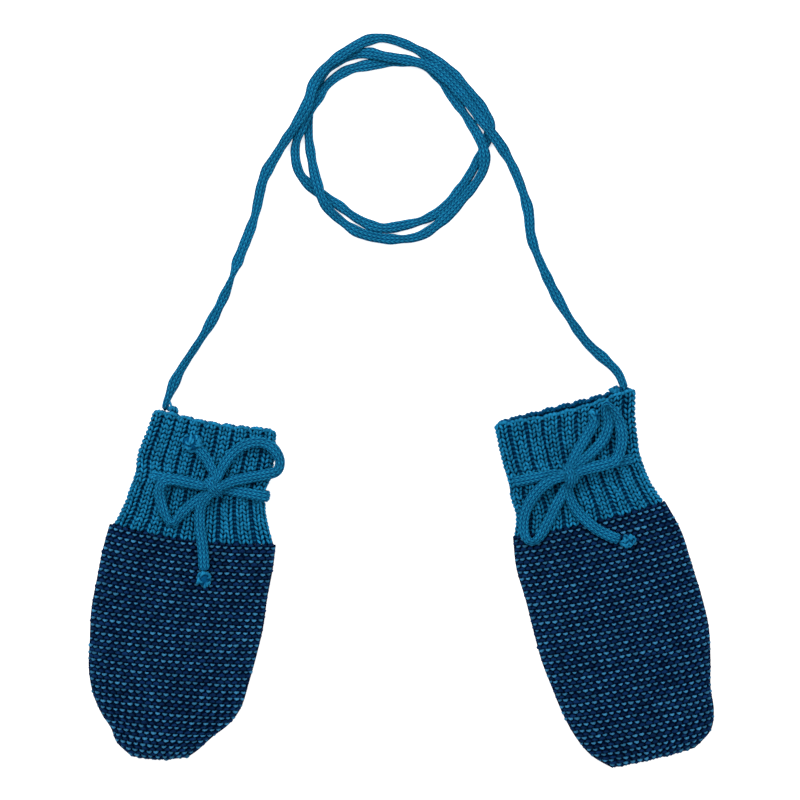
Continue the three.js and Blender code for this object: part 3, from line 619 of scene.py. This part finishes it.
def join_stitches(name, sets, material):
    """Several sets of stitches as one piece"""
    faces, start = [], 0
    for one in sets:
        faces += [tuple(corner + start for corner in face) for face in one["faces"]]
        start += len(one["points"])
    whole = {key: np.concatenate([one[key] for one in sets]) for key in ("points", "relief", "tint", "yarn")}
    return knit_piece(
        name, whole["points"], faces, whole["relief"], whole["tint"], whole["yarn"], material)


def round_core(side, centre, radii):
    """A closed rounded lump that fills the middle of a knot, coloured near its hollow colour as painted shade
    between the curls
    """
    angle = np.linspace(0, 2 * math.pi, CORE_SIDES, endpoint=False)
    rise = np.linspace(-CORE_RISE, CORE_RISE, CORE_RINGS)[:, None]
    ring = np.stack(
        [np.cos(rise) * np.cos(angle), np.cos(rise) * np.sin(angle), np.sin(rise) + 0 * angle], axis=-1)
    points = np.vstack([ring.reshape(-1, 3), (0, 0, -1), (0, 0, 1)]) * radii + centre
    return {
        "points": lay_mitten(points, side), "faces": tube_faces(*ring.shape[:2]),
        "relief": np.full(len(points), CORE_SHADED_RELIEF), "tint": np.full(len(points), 0.5),
        "yarn": np.zeros((len(points), 3)),
    }


def curled_lump(name, side, centre, radii, curls, curl, material, slot):
    """A lump of matted yarn: short bent curls laid all over a rounded core"""
    way = unit(chance.normal(size=(curls, 3)))
    centre, radii = np.array(centre), np.array(radii)
    spots = lay_mitten(centre + way * (radii - CURL_SINK * curl), side)
    out = unit(turn_mitten(way / radii, side))
    across = unit(np.cross(out, chance.normal(size=(curls, 3))))
    sizes = chance.uniform(*CURL_SIZES, curls) * curl
    bit = yarn_bit(CURL_LINE, CURL_RADII)
    yarns = set_stitches(bit, spots, across, np.cross(out, across), out, sizes)
    return join_stitches(name, [round_core(side, centre, radii - CORE_SINK * curl), yarns], material)


def tie_knot(side):
    """The bow's knot: a core of string with one turn over it"""
    centre = np.array(KNOT_CENTRES[side])
    core = curled_lump(
        side + "_knot_core", side, centre, KNOT_RADII, KNOT_CURLS, KNOT_CURL, CURL_WOOL, "cord_knit")
    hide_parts(side + "_bow_knot")
    rows = lay_mitten(KNOT_TURNS[side], side)
    line = spline(rows, even_line(rows, STRING_STEP))
    ways = unit(line - lay_mitten(centre - (0, 0, KNOT_TURN_DEPTH), side))
    turn = knit_cord(side + "_knot_turn", line, ways, np.zeros(len(line)), STRING_WIDTH, 1 - KNOT_PINCH / 2)
    return [core, turn]


knot_pieces = {side: tie_knot(side) for side in MITTENS}
for node, end in TAIL_ENDS.items():
    side = node.split("_")[0]
    lump = curled_lump(node + "_curls", side, **end, material=CURL_WOOL, slot="cord_knit")
    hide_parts(node)
    knot_pieces[side].append(lump)

# Each hand is a navy pouch knitted in the round and closed at the tip. Each course is a row of teal
# dashes, with a row of navy bumps above it and half a stitch to the side. A panel's rows give its left
# edge, its right edge and how far its middle sags, in millimetres.
LEFT_HAND = (
    (-12.5, -1.6, 8.0, 1.2, -1.2), (-18.8, 2.6, 11.6, 4.4, -0.8), (-21.8, 7.5, 16.2, 9.8, -0.6),
    (-26.2, 12.4, 21.6, 15.3, -0.4), (-30.5, 19.5, 25.3, 22.4, -0.4), (-33.4, 28.6, 26.8, 32.0, -0.6),
    (-34.5, 38.9, 28.2, 42.8, -0.8), (-35.6, 50.4, 29.1, 53.4, -1.1), (-35.2, 62.3, 29.0, 64.5, -1.5),
    (-34.6, 73.6, 29.5, 75.2, -1.9), (-33.4, 83.4, 29.3, 84.6, -2.2),
)
RIGHT_HAND = (
    (-14.0, 0.5, 17.0, -0.1, -0.4), (-20.5, 6.8, 24.8, 4.7, -0.4), (-24.4, 14.4, 28.0, 11.8, -0.4),
    (-27.0, 24.0, 29.0, 20.5, -0.4), (-28.5, 34.5, 31.8, 31.5, -0.5), (-29.8, 45.5, 34.0, 42.6, -0.6),
    (-30.0, 57.3, 34.3, 54.6, -0.8), (-29.9, 69.5, 33.7, 67.2, -1.0), (-30.3, 82.2, 33.0, 80.1, -1.2),
    (-28.6, 93.6, 29.9, 92.3, -1.3),
)
HAND_CROWN = 7.8
SIDE_HEIGHT = 3.4
TIP_ROUNDING = 9.0
CROWN_SQUARENESS = 4
CURL_SQUARENESS = 8
DASH_PITCH = 2.65
COURSE_PITCH = 2.5
DASH_SINKS = {"front": 0.45, "back": 1.1}
NAVY_SINK = 0.2
NAVY_WALE_SHIFT = 0.5
NAVY_COURSE_SHIFT = 0.45
EDGE_MARGIN = 0.1
# How unevenly the stitches lie: in millimetres of place, in tilt and in size
HAND_UNEVENNESS = (0.08, 0.09, 0.08)
TIP_COURSE_SHARE = 0.35
HAND_GROUND_DEPTH = 1.15
GROUND_THICKNESS = 1.0
EDGE_DEPTH = 0.1
EDGE_SINK = 0.4
YARN_SPREAD = 0.35
TIP_SPREAD = 0.6
TIP_SPREAD_POWER = 6
# How tightly a mouth's corner is rounded, across the cloth and along it
CORNER_POWERS = (10, 12)
PANEL_COLUMNS = 120
PANEL_ROWS = 160
PANEL_CROWDING = 1.3
GROUND_LINES = 41
# Each soft crease runs from one place to another, across and along, and is so wide and so deep
LEFT_HAND_CREASES = (
    (4.0, 79.0, 1.5, 62.0, 3.6, 0.45), (-19.0, 78.0, -16.0, 58.0, 4.4, 0.35),
    (17.0, 70.0, 12.0, 44.0, 5.0, 0.3), (-24.0, 40.0, -8.0, 31.0, 5.2, 0.3),
    (2.0, 24.0, 11.0, 33.0, 4.2, 0.35),
)
RIGHT_HAND_CREASES = (
    (-6.0, 88.0, -9.0, 66.0, 4.0, 0.45), (14.0, 84.0, 19.0, 60.0, 4.6, 0.35),
    (-19.0, 62.0, -13.0, 40.0, 5.2, 0.3), (6.0, 34.0, 20.0, 26.0, 5.0, 0.35),
    (-4.0, 20.0, -12.0, 27.0, 4.4, 0.3),
)


def cloth_between(rows, across_share, along_share):
    """Flat places between a panel's two edges"""
    edges = spline(rows, along_share * (len(rows) - 1))
    left, right, sag = edges[..., 0:2], edges[..., 2:4], edges[..., 4]
    share = across_share[..., None]
    flat = left * (1 - share) + right * share
    flat[..., 0] += YARN_SPREAD * (2 * across_share - 1)
    flat[..., 1] += sag * 4 * across_share * (1 - across_share)
    return flat


def pressed_in(flat, creases):
    """How far the soft creases press the cloth in at flat places"""
    depth = np.zeros(flat.shape[:-1])
    for start_across, start_along, end_across, end_along, width, deep in creases:
        start = np.array((start_across, start_along))
        run = np.array((end_across, end_along)) - start
        share = np.clip((flat - start) @ run / (run @ run), 0, 1)
        away = np.linalg.norm(flat - start - share[..., None] * run, axis=-1)
        depth += deep * np.exp(-(away / width) ** 2)
    return depth


def dense_panel(rows, height_at, tip_spread=0, mouth_corner=0):
    """A layer of cloth read at many places: its points, its directions and its length both ways. Its
    yarns reach out at the tip, and its mouth's corners are rounded off, by so much"""
    across_share = (1 - np.cos(np.linspace(0, math.pi, PANEL_COLUMNS + 1))) / 2
    along_share = np.linspace(0, 1, PANEL_ROWS + 1) ** PANEL_CROWDING
    across_grid, along_grid = np.meshgrid(across_share, along_share)
    flat = cloth_between(rows, across_grid, along_grid)
    flat[..., 1] -= tip_spread * (1 - along_grid) ** TIP_SPREAD_POWER
    corner = np.abs(2 * across_grid - 1) ** CORNER_POWERS[0] * along_grid ** CORNER_POWERS[1]
    flat[..., 1] -= mouth_corner * corner
    height = height_at(2 * across_grid - 1, along_grid, flat)
    points = np.concatenate([flat, height[..., None]], axis=-1)
    right = unit(np.gradient(points, axis=1))
    onward = unit(np.gradient(points, axis=0))
    out = unit(np.cross(right, onward))
    out[0] = out[1]
    across_run = np.cumsum(np.linalg.norm(np.diff(points, axis=1), axis=2), axis=1)
    across_run = np.concatenate([np.zeros((PANEL_ROWS + 1, 1)), across_run], axis=1)
    along_run = run_along(points[:, PANEL_COLUMNS // 2])
    return {"points": points, "right": right, "onward": onward, "out": out,
            "across_run": across_run, "along_run": along_run}


def read_panel(panel, row_place, column_place, face):
    """Points and directions of a layer at places counted in its rows and columns; face is 1 for a front
    layer, whose outside looks up, and -1 for a back one"""
    row = np.minimum(row_place.astype(int), PANEL_ROWS - 1)
    column = np.minimum(column_place.astype(int), PANEL_COLUMNS - 1)
    down, over = (row_place - row)[:, None], (column_place - column)[:, None]
    found = []
    for key in ("points", "right", "onward"):
        grid = panel[key]
        near = grid[row, column] * (1 - over) + grid[row, column + 1] * over
        far = grid[row + 1, column] * (1 - over) + grid[row + 1, column + 1] * over
        found.append(near * (1 - down) + far * down)
    points, right, onward = found[0], unit(found[1]), unit(found[2])
    out = unit(np.cross(right, onward)) * face
    points = points - out * EDGE_SINK * (1 - np.abs(out[:, 2:]))
    return points, right, onward, out


def width_run(panel, row):
    """The distances across a layer at one place counted in its rows"""
    low = min(int(row), PANEL_ROWS - 1)
    return panel["across_run"][low] * (1 - row + low) + panel["across_run"][low + 1] * (row - low)


def rounded_tip(flat):
    """How far the layers have parted behind the closed tip, from 0 to 1"""
    from_tip = flat[..., 1] - flat[:1, :, 1]
    return np.sqrt(1 - (1 - np.clip(from_tip / TIP_ROUNDING, 0, 1)) ** 2)


def arch(across, squareness):
    """How far a layer has bent from its sides, at 0, to its level middle, at 1"""
    return np.sqrt(np.clip(1 - np.abs(across) ** squareness, 0, 1))


def hand_heights(creases):
    """The front layer rises from its sides and the tip to a broad crown; the back one lies on the table"""
    def front_height(across, along, flat):
        crown = arch(across, CROWN_SQUARENESS) * rounded_tip(flat)
        return SIDE_HEIGHT + (HAND_CROWN - SIDE_HEIGHT - pressed_in(flat, creases)) * crown

    def back_height(across, along, flat):
        bed = arch(across, CURL_SQUARENESS) * rounded_tip(flat)
        return SIDE_HEIGHT + (pressed_in(flat, creases[::2]) - SIDE_HEIGHT) * bed

    return front_height, back_height


def stitches_on(side, bit, places, right, onward, out, sizes, shaded_relief_share=1.0):
    """Copies of one stitch on a mitten, at places and in directions of the mitten's own"""
    across, along, outward = (turn_mitten(ways, side) for ways in (right, onward, out))
    return set_stitches(bit, lay_mitten(places, side), across, along, outward, sizes, shaded_relief_share)


def uneven_stitches(side, bit, places, right, onward, out, unevenness, shaded_relief_share=1.0):
    """The same, each a little off its place, tilted and larger or smaller"""
    place_change, tilt_change, size_change = unevenness
    count = len(places)
    places = places + chance.normal(scale=place_change, size=(count, 3))
    tilt = chance.normal(scale=tilt_change, size=(count, 1))
    sizes = chance.normal(1.0, size_change, count)
    across, along = unit(right + onward * tilt), unit(onward - right * tilt)
    return stitches_on(side, bit, places, across, along, out, sizes, shaded_relief_share)


def hand_stitches(side, panel, face, bit, shift, course_shift, sink):
    """A whole layer's stitches of one kind: courses from the cuff to the tip, wales from the middle"""
    length = panel["along_run"][-1]
    courses = round(length / COURSE_PITCH + TIP_COURSE_SHARE)
    pitch = length / (courses - TIP_COURSE_SHARE)
    rows, columns = [], []
    for course in range(courses):
        row = np.interp(length - (course + 0.5) * pitch, panel["along_run"], np.arange(PANEL_ROWS + 1))
        run = width_run(panel, row)
        half = run[-1] / 2
        count = int(half / DASH_PITCH) + 1
        places = (np.arange(-count, count + 1) + shift) * DASH_PITCH
        places = places[np.abs(places) < half - EDGE_MARGIN * DASH_PITCH]
        rows.append(np.full(len(places), row))
        columns.append(np.interp(places + half, run, np.arange(PANEL_COLUMNS + 1)))
    points, right, onward, out = read_panel(panel, np.concatenate(rows), np.concatenate(columns), face)
    places = points + onward * course_shift - out * sink
    return uneven_stitches(side, bit, places, right, onward, out, HAND_UNEVENNESS)


def pouch(name, side, front, back, inset, material):
    """A thin tube of cloth under the stitches: an outer face, an inner face and rims between them, all at no
    relief, so in its material's painted hollow shade
    """
    across = np.linspace(0, PANEL_COLUMNS, GROUND_LINES).astype(int)
    along = np.unique(np.linspace(0, PANEL_ROWS, GROUND_LINES).astype(int))
    skins = []
    for thickness in (0, GROUND_THICKNESS):
        layers = []
        for panel, face in ((front, 1), (back, -1)):
            out = panel["out"][np.ix_(along, across)]
            depth = EDGE_DEPTH + (inset - EDGE_DEPTH) * np.abs(out[..., 2:]) + thickness
            layers.append(panel["points"][np.ix_(along, across)] - out * depth * face)
        skins.append(np.concatenate([layers[0], layers[1][:, ::-1]], axis=1))
    rows, around = skins[0].shape[:2]
    points = lay_mitten(np.concatenate([skin.reshape(-1, 3) for skin in skins]), side)
    faces, inner = [], rows * around
    for row in range(rows - 1):
        for place in range(around):
            after = (place + 1) % around
            outer = (row * around + place, row * around + after,
                     (row + 1) * around + after, (row + 1) * around + place)
            faces.append(outer)
            faces.append(tuple(inner + corner for corner in reversed(outer)))
    for row in (0, rows - 1):
        for place in range(around):
            after = (place + 1) % around
            rim = (row * around + place, inner + row * around + place,
                   inner + row * around + after, row * around + after)
            faces.append(rim if row == 0 else tuple(reversed(rim)))
    relief, tint, yarn = np.zeros(len(points)), np.full(len(points), 0.5), np.zeros((len(points), 3))
    return knit_piece(name, points, faces, relief, tint, yarn, material)


DASH = yarn_bit(
    [(-0.80, 0.24, -0.28), (-0.46, 0.04, 0.18), (0, -0.10, 0.34), (0.46, 0.04, 0.18), (0.80, 0.24, -0.28)],
    [0.28, 0.44, 0.52, 0.44, 0.28])
NAVY_BUMP = yarn_bit(
    [(-0.92, -0.34, -0.42), (-0.56, 0.0, 0.06), (0, 0.14, 0.26), (0.56, 0.0, 0.06), (0.92, -0.34, -0.42)],
    [0.42, 0.62, 0.70, 0.62, 0.42])
# Teal dashes and navy bumps: their yarn colour at the crests, and painted shade at their sunken ends
TEAL_DASH_WOOL = wool("teal_dash_wool", dye(50, 112, 148), dye(4, 46, 82), 0.45, 0.7)
NAVY_WOOL = wool("navy_wool", dye(10, 38, 76), dye(0, 16, 44), 0.45, 0.7)
# The ground under the stitches: navy yarn, darkened with painted shade for the holes between stitches
HAND_GROUND_SHADE = wool("hand_ground_shade_wool", dye(0, 20, 50), dye(0, 16, 44), 0.3, 0.0)


def knit_hand(side, rows, creases):
    """One hand: its ground, its navy bumps and its teal dashes on both layers"""
    front, back = (dense_panel(rows, height_at, TIP_SPREAD) for height_at in hand_heights(creases))
    ground = pouch(side + "_hand_ground_shade", side, front, back, HAND_GROUND_DEPTH, HAND_GROUND_SHADE)
    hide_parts(side + "_hand_front", side + "_hand_back")
    for layer, panel, face in (("front", front, 1), ("back", back, -1)):
        name, sink = side + "_hand_" + layer, DASH_SINKS[layer]
        dashes = hand_stitches(side, panel, face, DASH, 0, 0, sink)
        bumps = hand_stitches(
            side, panel, face, NAVY_BUMP, NAVY_WALE_SHIFT, NAVY_COURSE_SHIFT * COURSE_PITCH, sink + NAVY_SINK)
        join_stitches(name + "_dashes", [dashes], TEAL_DASH_WOOL)
        join_stitches(name + "_navy", [bumps], NAVY_WOOL)


knit_hand("left", LEFT_HAND, LEFT_HAND_CREASES)
knit_hand("right", RIGHT_HAND, RIGHT_HAND_CREASES)

# Each cuff is a teal tube ribbed two by one: two wales of plain stitches stand up, one purl wale
# sinks between them. It is knitted on to the hand, drawn in by the string and bound at the mouth,
# and the pull of the string lays soft creases between its ribs.
LEFT_CUFF = (
    (-31.6, 83.7, 28.2, 84.9, -2.2), (-29.2, 89.8, 25.6, 90.8, -1.9), (-27.4, 97.2, 23.4, 97.2, -1.0),
    (-26.2, 103.5, 22.6, 103.3, 0), (-26.3, 110.4, 23.8, 110.0, -0.6),
    (-24.5, 119.2, 23.8, 118.8, -1.2), (-22.6, 128.6, 23.1, 127.3, -2.0),
)
RIGHT_CUFF = (
    (-27.9, 93.9, 28.9, 92.6, -1.3), (-25.2, 101.2, 26.4, 99.6, -0.8),
    (-25.5, 107.6, 25.2, 105.4, -0.4), (-25.2, 114.0, 24.8, 111.5, 0),
    (-25.2, 120.6, 25.4, 118.4, -0.4), (-25.0, 128.4, 26.7, 127.4, -1.2),
    (-24.5, 136.8, 28.9, 136.8, -2.6),
)
LEFT_CUFF_CREASES = (
    (7.4, 99.0, 10.4, 87.4, 1.5, 1.1), (-1.6, 106.4, -0.2, 113.0, 1.3, 0.8),
    (-11.0, 101.0, -15.6, 88.0, 1.3, 0.6), (16.6, 106.6, 18.4, 121.6, 1.6, 0.6),
    (-18.4, 106.8, -16.4, 121.0, 1.4, 0.5), (20.4, 100.4, 22.6, 90.0, 1.4, 0.6),
)
RIGHT_CUFF_CREASES = (
    (-7.0, 115.4, -9.6, 131.0, 1.3, 0.8), (3.8, 108.4, 5.8, 96.4, 1.4, 0.8),
    (-14.4, 116.4, -17.2, 127.0, 1.3, 0.5), (9.6, 108.2, 14.6, 97.6, 1.3, 0.7),
    (22.0, 114.6, 24.4, 130.4, 1.6, 0.7), (-11.4, 106.2, -9.6, 96.4, 1.4, 0.5),
)
RIGHT_BACK_MOUTH_SAG = -0.4
MOUTH_CORNER = 1.6
MOUTH_WAVE = 0.7
MOUTH_WAVE_LEVEL = 0.6
RIGHT_MOUTH_LIFT = 1.2
MOUTH_LIFT_START = 0.6
CUFF_CROWN = 7.5
GATHER_CROWN = 8.0
GATHER_SIDE_HEIGHT = 5.7
GATHER_LIFT = 3.9
GATHER_FLAT = 1.5
GATHER_REACH = 5.2
RIBS = 9
RIB_UNEVENNESS = 0.07
LEG_UNEVENNESS = (0.06, 0.08, 0.06)
LEG_SPACING = 0.203
FRONT_LEG_RISES = (0.2, 0.7, 0.7, 0.2)
BACK_LEG_RISES = (-1.2, -1.05, -1.05, -1.2)
CUFF_COURSE = 1.68
CUFF_GROUND_DEPTH = 0.9
FRONT_PURL_RISE = -1.0
BACK_PURL_RISE = -1.35
PURL_COURSE_SHIFT = 0.3
# The purl wales keep this share of their relief, which darkens them as painted shade in the grooves
PURL_SHADED_RELIEF_SHARE = 0.4
FRONT_MOUTH_SINK = 0.3
BACK_MOUTH_SINK = 2.05
MOUTH_INSET = 0.01
MOUTH_RIB_POWER = 0.6
MOUTH_RIB_STAND = 0.6
MOUTH_BUMP_SIZE = 1.25
MOUTH_UNEVENNESS = 0.12
# The bound edge's two rows of bumps: how deep each lies, and how far on towards the opening
MOUTH_ROWS = ((-0.1, 0.0), (1.0, -0.1))
INSIDE_SHARES = (0.0, 0.25, 0.5, 0.75)
INSIDE_COURSES = 4
INSIDE_STAND = 0.2
# The inside stitches keep this share of their relief, which darkens them as painted shade inside the mouth
INSIDE_SHADED_RELIEF_SHARE = 0.8


def ease(value, low, high):
    """A smooth step from 0 at low to 1 at high"""
    share = np.clip((value - low) / (high - low), 0, 1)
    return share * share * (3 - 2 * share)


def cuff_heights(rows, creases, mouth_lift):
    """The front and back layers' heights: drawn in at the wrist, where the back lifts over the string"""
    wrist_along = (rows[3][1] + rows[3][3]) / 2

    def drawn_in(flat):
        distance = np.abs(flat[:, PANEL_COLUMNS // 2, 1] - wrist_along)
        return (1 - ease(distance, GATHER_FLAT, GATHER_REACH))[:, None]

    def side_height(drawn):
        return SIDE_HEIGHT + (GATHER_SIDE_HEIGHT - SIDE_HEIGHT) * drawn

    def front_height(across, along, flat):
        drawn = drawn_in(flat)
        side = side_height(drawn)
        crown = CUFF_CROWN + (GATHER_CROWN - CUFF_CROWN) * drawn
        crown = crown + mouth_lift * ease(along, MOUTH_LIFT_START, 1)
        crown = crown - pressed_in(flat, creases) * (1 - drawn)
        return side + (crown - side) * arch(across, CROWN_SQUARENESS)

    def back_height(across, along, flat):
        drawn = drawn_in(flat)
        side = side_height(drawn)
        bed = GATHER_LIFT * drawn + pressed_in(flat, creases[1:]) * (1 - drawn)
        return side + (bed - side) * arch(across, CURL_SQUARENESS)

    return front_height, back_height


def rib_stitches(
        side, panel, face, bit, rib_edges, shares, rises, course_shift=0, shaded_relief_share=1.0, last=None):
    """Stitches along the ribs of one layer: shares of a rib for each wale, and how far each wale stands
    out of the layer; last leaves all but so many courses at the mouth out"""
    length = panel["along_run"][-1]
    courses = int(length / CUFF_COURSE)
    rows, columns, stand = [], [], []
    for course in range(0 if last is None else courses - last, courses):
        distance = (course + 0.5 + course_shift) * length / courses
        row = np.interp(distance, panel["along_run"], np.arange(PANEL_ROWS + 1))
        run = width_run(panel, row)
        for share, rise in zip(shares, rises):
            places = (rib_edges[:-1] * (1 - share) + rib_edges[1:] * share) * run[-1]
            rows.append(np.full(len(places), row))
            columns.append(np.interp(places, run, np.arange(PANEL_COLUMNS + 1)))
            stand.append(np.full(len(places), rise))
    rows, columns, stand = (np.concatenate(part) for part in (rows, columns, stand))
    points, right, onward, out = read_panel(panel, rows, columns, face)
    places = points + out * stand[:, None]
    return uneven_stitches(side, bit, places, right, onward, out, LEG_UNEVENNESS, shaded_relief_share)


LEG_LINE = ((-0.44, -1.0, -0.5), (-0.24, -0.5, 0.1), (0, 0, 0.28), (0.24, 0.5, 0.1), (0.44, 1.0, -0.5))
LEG_RADII = (0.26, 0.46, 0.54, 0.46, 0.26)
RISING_LEG = yarn_bit(LEG_LINE, LEG_RADII)
FALLING_LEG = yarn_bit([(-across, along, out) for across, along, out in LEG_LINE], LEG_RADII)
PURL_BUMP = yarn_bit(
    [(-0.66, 0.12, -0.2), (-0.28, -0.05, 0.12), (0.28, -0.05, 0.12), (0.66, 0.12, -0.2)],
    [0.30, 0.44, 0.44, 0.30])
MOUTH_BUMP = yarn_bit(
    [(-0.66, -0.35, -0.1), (-0.35, 0.12, 0.15), (0, 0.28, 0.2), (0.35, 0.12, 0.15), (0.66, -0.35, -0.1)],
    [0.34, 0.5, 0.54, 0.5, 0.34])
# The cuff's teal at its crests, and painted shade in the hollows between legs
CUFF_WOOL = wool("cuff_wool", dye(24, 114, 155), dye(0, 52, 92), 0.4, 0.5)
# The ground between the legs and ribs: teal yarn, darkened with painted shade for the gaps and grooves
CUFF_GROUND_SHADE = wool("cuff_ground_shade_wool", dye(0, 42, 78), dye(0, 38, 72), 0.25, 0.0)


def bind_mouth(side, layer, panel, face, sink):
    """The cast-on edge: two rows of small round bumps along a layer's mouth"""
    run = panel["across_run"][-1]
    count = 4 * RIBS + 1
    distances = np.linspace(MOUTH_INSET, 1 - MOUTH_INSET, count) * run[-1]
    columns = np.interp(distances, run, np.arange(PANEL_COLUMNS + 1))
    points, right, onward, out = read_panel(panel, np.full(count, float(PANEL_ROWS)), columns, face)
    rib = np.abs(np.sin(math.pi * np.linspace(0, RIBS, count))) ** MOUTH_RIB_POWER
    wave = MOUTH_WAVE * (rib - MOUTH_WAVE_LEVEL) + chance.normal(scale=MOUTH_UNEVENNESS, size=count)
    sets = []
    for depth, onward_shift in MOUTH_ROWS:
        stand = (rib * MOUTH_RIB_STAND - sink - depth)[:, None]
        spots = points + out * stand + onward * (wave + onward_shift)[:, None]
        sizes = chance.normal(MOUTH_BUMP_SIZE, MOUTH_UNEVENNESS, count)
        sets.append(stitches_on(side, MOUTH_BUMP, spots, right, onward, out, sizes))
    return join_stitches(side + "_cuff_" + layer + "_mouth", sets, CUFF_WOOL)


def knit_cuff(side, rows, creases, back_mouth_sag, mouth_lift):
    """One cuff: its ground, the plain wales of its ribs, the purl wales between, and its bound mouth,
    behind which the inside of the back layer shows"""
    back_rows = rows[:-1] + (rows[-1][:4] + (back_mouth_sag,),)
    front_height, back_height = cuff_heights(rows, creases, mouth_lift)
    front = dense_panel(rows, front_height, 0, MOUTH_CORNER)
    back = dense_panel(back_rows, back_height, 0, MOUTH_CORNER)
    ground = pouch(side + "_cuff_ground_shade", side, front, back, CUFF_GROUND_DEPTH, CUFF_GROUND_SHADE)
    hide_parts(side + "_cuff_front", side + "_cuff_back")
    legs = 0.5 + (np.arange(4) - 1.5) * LEG_SPACING
    for layer, panel, face, rises, purl_rise, mouth_sink in (
            ("front", front, 1, FRONT_LEG_RISES, FRONT_PURL_RISE, FRONT_MOUTH_SINK),
            ("back", back, -1, BACK_LEG_RISES, BACK_PURL_RISE, BACK_MOUTH_SINK)):
        widths = 1 + chance.normal(scale=RIB_UNEVENNESS, size=RIBS)
        rib_edges = np.concatenate([[0], np.cumsum(widths)]) / widths.sum()
        falling = rib_stitches(side, panel, face, FALLING_LEG, rib_edges, legs[0::2], rises[0::2])
        rising = rib_stitches(side, panel, face, RISING_LEG, rib_edges, legs[1::2], rises[1::2])
        purls = rib_stitches(
            side, panel, face, PURL_BUMP, rib_edges, [0.0], [purl_rise], PURL_COURSE_SHIFT, PURL_SHADED_RELIEF_SHARE)
        name = side + "_cuff_" + layer
        join_stitches(name + "_ribs", [falling, rising], CUFF_WOOL)
        join_stitches(name + "_purls", [purls], CUFF_WOOL)
        bind_mouth(side, layer, panel, face, mouth_sink)
    inside_rises = np.full(len(INSIDE_SHARES), CUFF_GROUND_DEPTH + GROUND_THICKNESS + INSIDE_STAND)
    inside = rib_stitches(
        side, back, 1, MOUTH_BUMP, np.linspace(0, 1, RIBS + 1), INSIDE_SHARES, inside_rises,
        PURL_COURSE_SHIFT, INSIDE_SHADED_RELIEF_SHARE, last=INSIDE_COURSES)
    join_stitches(side + "_cuff_inside", [inside], CUFF_WOOL)


knit_cuff("left", LEFT_CUFF, LEFT_CUFF_CREASES, LEFT_CUFF[-1][4], 0)
knit_cuff("right", RIGHT_CUFF, RIGHT_CUFF_CREASES, RIGHT_BACK_MOUTH_SAG, RIGHT_MOUTH_LIFT)

# A few stitches of cuff wool hold each end of the neck cord to the cuff's corner. The left one's
# thread end is left loose.
NECK_STITCHES = {
    "left_neck_stitch": {"centre": (-15.9, 129.3, 5.0), "radii": (2.0, 1.0, 1.5), "curls": 14, "curl": 1.0},
    "right_neck_stitch": {"centre": (22.8, 137.5, 5.0), "radii": (3.0, 1.3, 1.8), "curls": 20, "curl": 1.0},
}
THREAD_END = ((0, 0, 0), (-0.5, 1.0, 0.3), (-0.9, 1.9, 0.2), (-1.3, 2.7, 0.0))
THREAD_RADII = (0.42, 0.45, 0.4, 0.25)
THREAD_ROOT_SHIFT = (-0.4, 0.4, 0.3)
for node, stitch in NECK_STITCHES.items():
    side = node.split("_")[0]
    lump = curled_lump(node + "_curls", side, **stitch, material=CUFF_WOOL, slot="cuff_rib")
    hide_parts(node)
thread_root = np.array([NECK_STITCHES["left_neck_stitch"]["centre"]]) + THREAD_ROOT_SHIFT
thread_ways = np.eye(3)[:, None]
thread_end = stitches_on("left", yarn_bit(THREAD_END, THREAD_RADII), thread_root, *thread_ways, np.ones(1))
join_stitches("left_neck_thread_end", [thread_end], CUFF_WOOL)

# The mittens lie on a plain white table under a broad soft light from overhead.
TABLE_SIDE = 4.0
TABLE_WHITE = (0.9, 0.9, 0.9, 1)
TABLE_GLOW = 0.6
ROOM_LIGHT = 0.5
PAIR_MIDDLE = (0, 0.066, 0)
# Each light's place and the side of its square in metres, and its watts
LIGHTS = {"window_light": ((-0.6, 0.9, 1.2), 1.0, 20), "fill_light": ((0.8, 0.2, 1.2), 1.2, 8)}
table_mesh = bpy.data.meshes.new("table_top")
reach = TABLE_SIDE / 2
table_corners = [(-reach, -reach, 0), (reach, -reach, 0), (reach, reach, 0), (-reach, reach, 0)]
table_mesh.from_pydata(table_corners, [], [(0, 1, 2, 3)])
table_white = bpy.data.materials.new("table_white")
table_white.use_nodes = True
table_surface = table_white.node_tree.nodes["Principled BSDF"]
table_surface.inputs["Base Color"].default_value = TABLE_WHITE
table_surface.inputs["Roughness"].default_value = 1.0
table_surface.inputs["Specular IOR Level"].default_value = 0.0
table_surface.inputs["Emission Color"].default_value = (1, 1, 1, 1)
table_surface.inputs["Emission Strength"].default_value = TABLE_GLOW
table_mesh.materials.append(table_white)
table_top = bpy.data.objects.new("table_top", table_mesh)
bpy.context.scene.collection.objects.link(table_top)

studio = bpy.data.worlds.new("studio")
studio.use_nodes = True
studio.node_tree.nodes["Background"].inputs["Color"].default_value = (1, 1, 1, 1)
studio.node_tree.nodes["Background"].inputs["Strength"].default_value = ROOM_LIGHT
bpy.context.scene.world = studio

for name, (place, width, watts) in LIGHTS.items():
    lamp = bpy.data.lights.new(name, "AREA")
    lamp.size = width
    lamp.energy = watts
    light = bpy.data.objects.new(name, lamp)
    light.location = place
    light.rotation_mode = "QUATERNION"
    light.rotation_quaternion = Vector(np.array(PAIR_MIDDLE) - place).to_track_quat("-Z", "Y")
    bpy.context.scene.collection.objects.link(light)
bpy.context.scene.view_settings.view_transform = "Standard"
